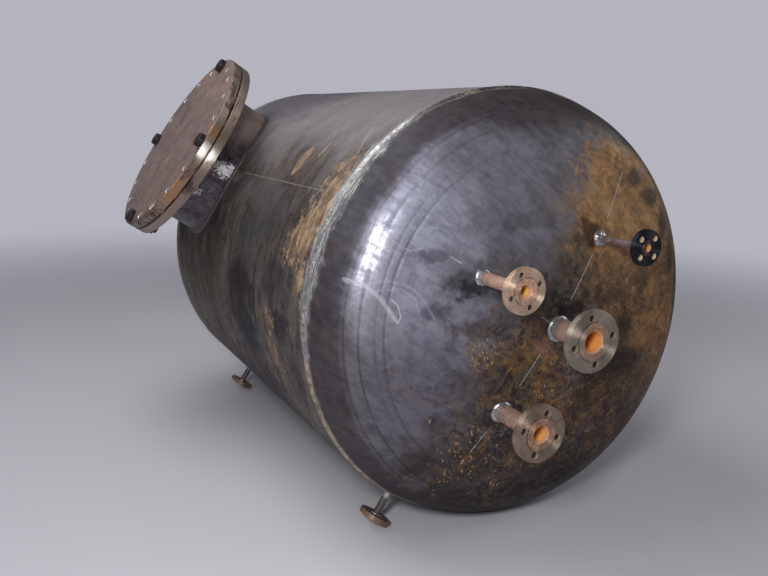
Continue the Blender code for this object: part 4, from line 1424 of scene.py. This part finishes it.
coverLook = {
    "dark": tint(108, 92, 90),
    "light": tint(168, 148, 142),
    "rustDark": tint(112, 88, 80),
    "rustLight": tint(172, 140, 126),
    "scratch": tint(190, 180, 172),
    "rimDark": tint(98, 90, 88),
    "rimRust": tint(204, 152, 104),
    "rimRustDark": tint(140, 98, 66),
    "rimSteel": tint(172, 154, 142),
    "rimBlue": tint(84, 84, 92),
    # painted highlight: the rims' glint colour and place, where the key light reflects off them
    "rimPaintedGlint": tint(236, 230, 222),
    "rimRadius": 0.36,
    "paintedGlintCentre": (0.36, -0.012, manwayLook["face"] - 0.020),
    "paintedGlintReach": (0.10, 0.040, 0.060),
    "edgeBand": (0.338, 0.347),      # the wear begins between these distances from the middle
    "orangeSpots": [     # centre, reach, weight
        ((0.31, -0.175, 0), (0.09, 0.105, 1), 0.9),
        ((0.352, 0.055, 0), (0.05, 0.038, 1), 0.75),
    ],
    "chatterCentre": (0.16, -0.318, 0),
    "chatterReach": (0.19, 0.12, 1),
    "chatterColour": tint(58, 40, 26),
}
neckLook = {
    "dark": tint(40, 36, 44),
    "light": tint(112, 106, 116),
    "topBrown": tint(164, 146, 140),
    "rustDark": tint(96, 72, 58),
    "rustLight": tint(160, 128, 104),
    # painted highlight: the white of the glint flecks where the key light strikes the neck
    "silver": tint(236, 238, 244),
    "paintedGlintSpots": [     # centre, reach
        ((0.250, -0.015, 0.68), (0.09, 0.045, 0.12)),
        ((0.215, -0.135, 0.70), (0.022, 0.022, 0.026)),
    ],
}


def makeRimWear():  # orange beside the rim's painted glint, and chatter marks low on the cover's edge
    look = coverLook
    g = newGroup("rimWear", [("Vector", "vector", None), ("Color", "colour", (0.3, 0.25, 0.2)),
                             ("Share", "value", 1.0)], [("Color", "colour")])
    parts = g.split(g.given["Vector"])
    flat = g.join(parts[0], parts[1])
    colour, edge = g.given["Color"], g.given["Share"]
    cloud = g.grain(g.given["Vector"], 40.0, 5.0, 0.68)
    for centre, reach, weight in look["orangeSpots"]:
        spot = g.times(g.spot(flat, centre, reach, 0.35, 24.0), g.soften(cloud, 0.40, 0.56, 0.15, weight))
        colour = g.blend(g.times(spot, edge), colour, look["rimRust"])
    angle = g.calc("ARCTAN2", parts[1], parts[0])
    bars = g.calc("SINE", g.plus(g.times(angle, 140.0), g.times(cloud, 30.0)))
    field = g.spot(flat, look["chatterCentre"], look["chatterReach"], 0.4, 26.0)
    marks = g.times(g.times(g.soften(bars, -0.5, 0.2), g.soften(field, 0.0, 0.4)), edge)
    g.feed(g.result["Color"], g.blend(g.times(marks, 0.85), colour, look["chatterColour"]))


makeRimWear()


def makeCoverSteel():
    look = coverLook
    g = newMaterial("coverSteel")
    vector = g.place()
    scale = g.scale(vector, look["dark"], look["light"], 5.0, 0.9)
    rust = g.rust(vector, 6.0, 0.45, 0.4, look["rustDark"], look["rustLight"])
    mask = g.times(rust["Mask"], 0.6)
    colour = g.blend(mask, scale["Color"], rust["Color"])
    for turn in (0.5, 1.9):
        facing = g.turned(vector, math.pi / 2, "Y_AXIS")
        marks = g.group("scratchDashes", Vector=facing, Turn=turn, Along=7.0, Across=260.0, Share=0.10)[0]
        colour = g.blend(g.times(marks, 0.5), colour, look["scratch"])
    parts = g.split(vector)
    out = g.length(g.join(parts[0], parts[1]))
    edge = g.soften(g.plus(out, g.times(g.grain(vector, 60.0), 0.012)), *look["edgeBand"])
    colour = g.group("rimWear", Vector=vector, Color=colour, Share=edge)["Color"]
    metal = g.minus(0.45, g.times(mask, 0.4))
    return g.finished(colour, metal, g.soften(scale["Share"], 0.0, 1.0, 0.62, 0.46), scale["Height"],
                      0.0008)


def makeRimSteel(name, worn, seed):  # turned rim: grey blotches, orange rust, and a polished patch with a painted glint where the key light reflects
    look = coverLook
    g = newMaterial(name, {"Anisotropic": 0.92, "Anisotropic Rotation": 0.25})
    vector = g.place()
    parts = g.split(vector)
    angle = g.calc("ARCTAN2", parts[1], parts[0])
    wrapped = g.join(g.times(g.calc("COSINE", angle), look["rimRadius"]),
                     g.times(g.calc("SINE", angle), look["rimRadius"]),
                     g.plus(g.times(parts[2], 1.6), seed))
    cloud = g.grain(wrapped, 9.0, 6.0, 0.66, 0.6)
    base = g.blend(g.soften(cloud, 0.36, 0.48), look["rimDark"], look["rimSteel"])
    blue = g.soften(g.grain(wrapped, 6.0, 5.0, 0.7, 0.8), 0.56, 0.66, 0.0, 0.8)
    base = g.blend(blue, base, look["rimBlue"])
    rust = g.rust(wrapped, 14.0, 0.20, 0.45, look["rimRustDark"], look["rimRust"])
    # polished patch with a painted glint: a lighter colour and lower roughness where the key light reflects
    polishAndPaintedGlint = g.spot(vector, look["paintedGlintCentre"], look["paintedGlintReach"], 0.12, 40.0)
    mask = g.times(rust["Mask"], g.minus(0.85, g.times(polishAndPaintedGlint, 0.85)))
    colour = g.blend(mask, g.blend(polishAndPaintedGlint, base, look["rimPaintedGlint"]), rust["Color"])
    if worn:
        colour = g.group("rimWear", Vector=vector, Color=colour)["Color"]
    metal = g.minus(0.85, g.times(mask, 0.65))
    rough = g.blendValue(polishAndPaintedGlint, g.soften(cloud, 0.4, 0.6, 0.54, 0.44), 0.34)
    return g.finished(colour, metal, g.blendValue(mask, rough, 0.62), g.grain(wrapped, 160.0, 4.0), 0.00005)


def makeNeckSteel():  # brown on top, burnt, and a painted glint of white flecks where the key light strikes it
    look = neckLook
    g = newMaterial("neckSteel")
    vector = g.place()
    scale = g.scale(vector, look["dark"], look["light"], 9.0, 1.2)
    parts = g.split(vector)
    upper = g.soften(g.plus(parts[1], g.times(g.grain(vector, 12.0, 4.0), 0.10)), 0.10, 0.24)
    colour = g.blend(g.times(upper, 0.8), scale["Color"], look["topBrown"])
    rust = g.rust(vector, 10.0, 0.26, 0.5, look["rustDark"], look["rustLight"])
    mask = g.times(rust["Mask"], 0.7)
    colour = g.blend(mask, colour, rust["Color"])
    # painted highlight: white flecks, densest in each spot's middle, stand in for the key light's glints on
    # rough steel
    spot = g.larger(*[g.spot(vector, centre, reach, 0.5, 26.0) for centre, reach in look["paintedGlintSpots"]])
    flecks = g.plus(g.grain(vector, 150.0, 5.0, 0.62), g.times(spot, 0.16))
    silver = g.times(g.soften(spot, 0.02, 0.25), g.soften(flecks, 0.56, 0.63))
    colour = g.blend(silver, colour, look["silver"])
    bare = g.minus(0.75, g.times(g.larger(mask, upper), 0.6))
    metal = g.blendValue(silver, bare, 0.12)
    rough = g.soften(scale["Share"], 0.0, 1.0, 0.42, 0.28)
    rough = g.blendValue(g.times(upper, 0.8), rough, 0.55)
    return g.finished(colour, metal, rough, g.plus(scale["Height"], silver), 0.0016)


def makeDarkSheet(name, colour, roughness, metallic):
    g = newMaterial(name)
    scale = g.scale(g.place(), colour, tuple(part * 2.6 for part in colour), 40.0, 1.0)
    metal = g.soften(scale["Share"], 0.0, 1.0, metallic * 0.6, metallic)
    rough = g.soften(scale["Share"], 0.0, 1.0, roughness + 0.1, roughness - 0.1)
    return g.finished(scale["Color"], metal, rough, scale["Height"], 0.0004)


def hexagonRow(across, height, segments):
    row = []
    for angle, cosine, sine in roundSteps(segments):
        fromFlat = (angle + math.pi / 6) % (math.pi / 3) - math.pi / 6
        reach = across / 2 / math.cos(math.pi / 6 - abs(fromFlat))
        row.append(Vector((reach * cosine, reach * sine, height)))
    return row


def chamferedHexagon(across, low, high, segments):  # rows from low to high, corners turned off at the top
    rows = [hexagonRow(across, low, segments)]
    corner = across / math.sqrt(3)
    drop, narrow = 0.1 * across, 0.47 * across
    for share in (0.0, 0.5, 1.0):
        limit = corner - (corner - narrow) * share
        row = hexagonRow(across, high - drop * (1 - share), segments)
        for point in row:
            shrink = min(1.0, limit / math.hypot(point.x, point.y))
            point.x, point.y = point.x * shrink, point.y * shrink
        rows.append(row)
    return rows


def makeManwayBolt(index, place, coverFace, flangeBack, steel):
    look = manwayLook
    segments = look["boltSegments"]
    under = coverFace + nozzleShared["gap"]
    nutTop = flangeBack - nozzleShared["gap"]
    tip = nutTop - look["nut"] - look["tail"]
    top = under + look["boltHead"]
    shank, chamfer = look["boltRadius"], look["tailChamfer"]
    shankPoints = [(0, tip), (shank - chamfer, tip), (shank, tip + chamfer), (shank, under)]
    rows = [ringRow(point, segments) for point in shankPoints]
    rows += chamferedHexagon(look["across"], under, top, segments)
    rows.append(ringRow((0, top), segments))
    name = f"manway_bolt_{index}"
    finishPiece(name + "_hex", meshFromRows(rows, False), place, [steel], [name])
    hole = shank + nozzleShared["gap"]
    rows = chamferedHexagon(look["across"], 0.0, look["nut"], segments)
    rows += [ringRow((hole, look["nut"]), segments), ringRow((hole, 0.0), segments)]
    flipped = place @ Matrix.Translation((0, 0, nutTop)) @ Matrix.Rotation(math.pi, 4, "X")
    name = f"manway_nut_{index}"
    finishPiece(name + "_hex", meshFromRows(rows, True), flipped, [steel], [name])


def makeManway():
    look = manwayLook
    x = boxMiddle("manway_cover").x - tankMiddle.x
    place = axesAt(Vector((x, 0, 0)), manwayWay, frontWay)
    flipped = place @ Matrix.Rotation(math.pi, 4, "X")
    face, step = look["face"], look["raisedHeight"]
    coverBack = face - look["coverThick"]
    flangeFace = coverBack - look["spacing"]
    flangeBack = flangeFace - look["flangeThick"]
    gap = nozzleShared["gap"]
    neck, hole = look["neck"], look["neck"] + gap
    segments = look["segments"]
    rim, edge, raised = look["rim"], look["edge"], look["raised"]

    coverSteel = makeCoverSteel()
    coverRim = makeRimSteel("coverRimSteel", True, 0.0)
    flangeRim = makeRimSteel("manwayFlangeSteel", False, 1.7)
    holeSteel = makeBoreRust("manwayHoleSteel", tint(250, 244, 238), tint(190, 176, 168), metal=0.9)
    neckSteel = makeNeckSteel()
    weldSteel = makeDarkSheet("neckWeldSteel", tint(66, 58, 58), 0.50, 0.5)

    profile = roundedProfile([(0, coverBack - step), (raised, coverBack - step), (raised, coverBack),
                              (rim, coverBack, edge), (rim, face, edge), (0, face)])
    mesh = turnedMesh(profile, segments, [1] * (len(profile) - 2) + [0])
    steels = [coverSteel, coverRim, holeSteel]
    cover = finishPiece("manway_cover_plate", mesh, place, steels, ["manway_cover"])
    profile = roundedProfile([(hole, flangeBack), (rim, flangeBack, edge), (rim, flangeFace, edge),
                              (raised, flangeFace), (raised, flangeFace + step), (hole, flangeFace + step)])
    flange = finishPiece("manway_neck_ring", turnedMesh(profile, segments), place, [flangeRim, holeSteel],
                         ["manway_flange"])
    for piece, low, high in ((cover, coverBack, face), (flange, flangeBack, flangeFace)):
        spots = boltPlaces(place, look["circle"], look["turn"], look["holes"])
        cutHoles(piece, [(drill(look["hole"], low, high, look["chamfer"]), spot) for spot in spots])

    sheetSteel = makeDarkSheet("gasketSheet", tint(70, 62, 60), 0.8, 0.0)
    low, high = flangeFace + step + gap, coverBack - step - gap
    inner, outer = look["gasketBore"], look["gasketRadius"]
    mesh = turnedMesh([(inner, low), (outer, low), (outer, high), (inner, high)], segments)
    finishPiece("manway_gasket_sheet", mesh, place, [sheetSteel], ["manway_gasket"])

    neckTop = flangeFace + step - look["neckRecess"]
    inside = tankRadius - tankLook["wall"] - look["neckInside"]
    bore = neck - look["neckWall"]
    rows = [ringRow((radius, neckTop), segments) for radius in (neck, bore, bore, neck)]
    for point in rows[2] + rows[3]:  # the inner end follows the shell's round
        point.z = math.sqrt(inside ** 2 - point.y ** 2)
    finishPiece("manway_neck_tube", meshFromRows(rows, True), place, [neckSteel], ["manway_neck"])
    foot = filletRows(neck, look["leg"], shellSurface, 4.4)
    behind = filletRows(neck, look["leg"], flatSurface(-flangeBack), 8.8)
    welds = [("manway_foot_weld", foot, place, ["manway_weld"]),
             ("manway_back_weld", behind, flipped, ["manway_flange_weld"])]
    for name, rows, where, nodes in welds:
        finishPiece(name, meshFromRows(rows, True), where, [weldSteel], nodes, 60)

    boltSteel = makeDarkSheet("boltSteel", tint(44, 40, 42), 0.48, 0.8)
    for index, spot in enumerate(boltPlaces(place, look["circle"], look["turn"], look["bolts"])):
        makeManwayBolt(index + 1, spot, face, flangeBack, boltSteel)
    shellHoles.append((drill(hole, *look["neckDrill"]), place))


makeManway()
cutHoles(shellPiece, shellHoles)
print("manway made")

# Floor, light and camera

stageLook = {
    "floorColour": tint(214, 214, 222),
    "floorRadius": 9.0,
    "fadeStart": 2.2,
    "fadeEnd": 6.3,
    "worldSeen": tint(180, 180, 190),
    "worldLight": tint(150, 149, 156),
    "worldStrength": 0.45,
    "lights": [
        # name, place from the tank's middle, width, power, colour
        ("keyLight", (2.42, -1.72, 0.98), 0.60, 38, (1.0, 0.985, 0.97)),
        ("overheadLight", (-0.6, -1.6, 3.2), 2.6, 62, (0.99, 0.98, 0.98)),
        ("sideLight", (1.6, 3.4, 1.6), 2.2, 22, (1.0, 0.97, 0.94)),
    ],
}
cameraLook = {
    "place": (2.4762, -1.2261, 1.1611),
    "heading": 152.649,     # degrees from +X
    "drop": 12.010,
    "roll": 1.552,
    "lens": 37.0,
}


def makeFloor():
    mesh = bmesh.new()
    bmesh.ops.create_circle(mesh, cap_ends=True, radius=stageLook["floorRadius"], segments=96)
    data = bpy.data.meshes.new("floor")
    mesh.to_mesh(data)
    mesh.free()
    floor = bpy.data.objects.new("floor", data)
    bpy.context.scene.collection.objects.link(floor)
    g = newMaterial("floorPaint", {"Roughness": 0.8, "Base Color": (*stageLook["floorColour"], 1.0)})
    far = g.length(g.place())
    clear = g.add("BsdfTransparent")
    fade = g.soften(far, stageLook["fadeStart"], stageLook["fadeEnd"])
    mixed = g.add("MixShader", {0: fade, 1: g.shader.outputs[0], 2: clear.outputs[0]})
    g.feed(g.tree.nodes["Material Output"].inputs["Surface"], mixed.outputs[0])
    data.materials.append(g.material)


def makeLights():
    for name, place, width, power, colour in stageLook["lights"]:
        data = bpy.data.lights.new(name, "AREA")
        data.shape = "DISK"
        data.size = width
        data.energy = power
        data.color = colour
        light = bpy.data.objects.new(name, data)
        light.location = tankMiddle + Vector(place)
        light.rotation_euler = (-Vector(place)).to_track_quat("-Z", "Y").to_euler()
        bpy.context.scene.collection.objects.link(light)
    world = bpy.data.worlds.new("studio")
    world.use_nodes = True
    graph = Graph(world.node_tree)
    background = world.node_tree.nodes["Background"]
    graph.feed(background.inputs["Color"], stageLook["worldLight"])
    graph.feed(background.inputs["Strength"], stageLook["worldStrength"])
    seen = graph.add("Background", {"Color": stageLook["worldSeen"], "Strength": 1.0})
    toCamera = graph.add("LightPath").outputs["Is Camera Ray"]
    mixed = graph.add("MixShader", {0: toCamera, 1: background.outputs[0], 2: seen.outputs[0]})
    graph.feed(world.node_tree.nodes["World Output"].inputs["Surface"], mixed.outputs[0])
    bpy.context.scene.world = world
    bpy.context.scene.view_settings.view_transform = "Standard"


def makeCamera():
    look = cameraLook
    heading, drop = math.radians(look["heading"]), math.radians(look["drop"])
    aim = Vector((math.cos(drop) * math.cos(heading), math.cos(drop) * math.sin(heading), -math.sin(drop)))
    roll = Matrix.Rotation(math.radians(look["roll"]), 4, "Z")
    data = bpy.data.cameras.new("camera")
    data.lens = look["lens"]
    data.sensor_width = 36.0
    camera = bpy.data.objects.new("camera", data)
    turn = aim.to_track_quat("-Z", "Y").to_matrix().to_4x4()
    camera.matrix_world = Matrix.Translation(look["place"]) @ turn @ roll
    bpy.context.scene.collection.objects.link(camera)
    bpy.context.scene.camera = camera


makeFloor()
makeLights()
makeCamera()
print("stage, lights and camera made")
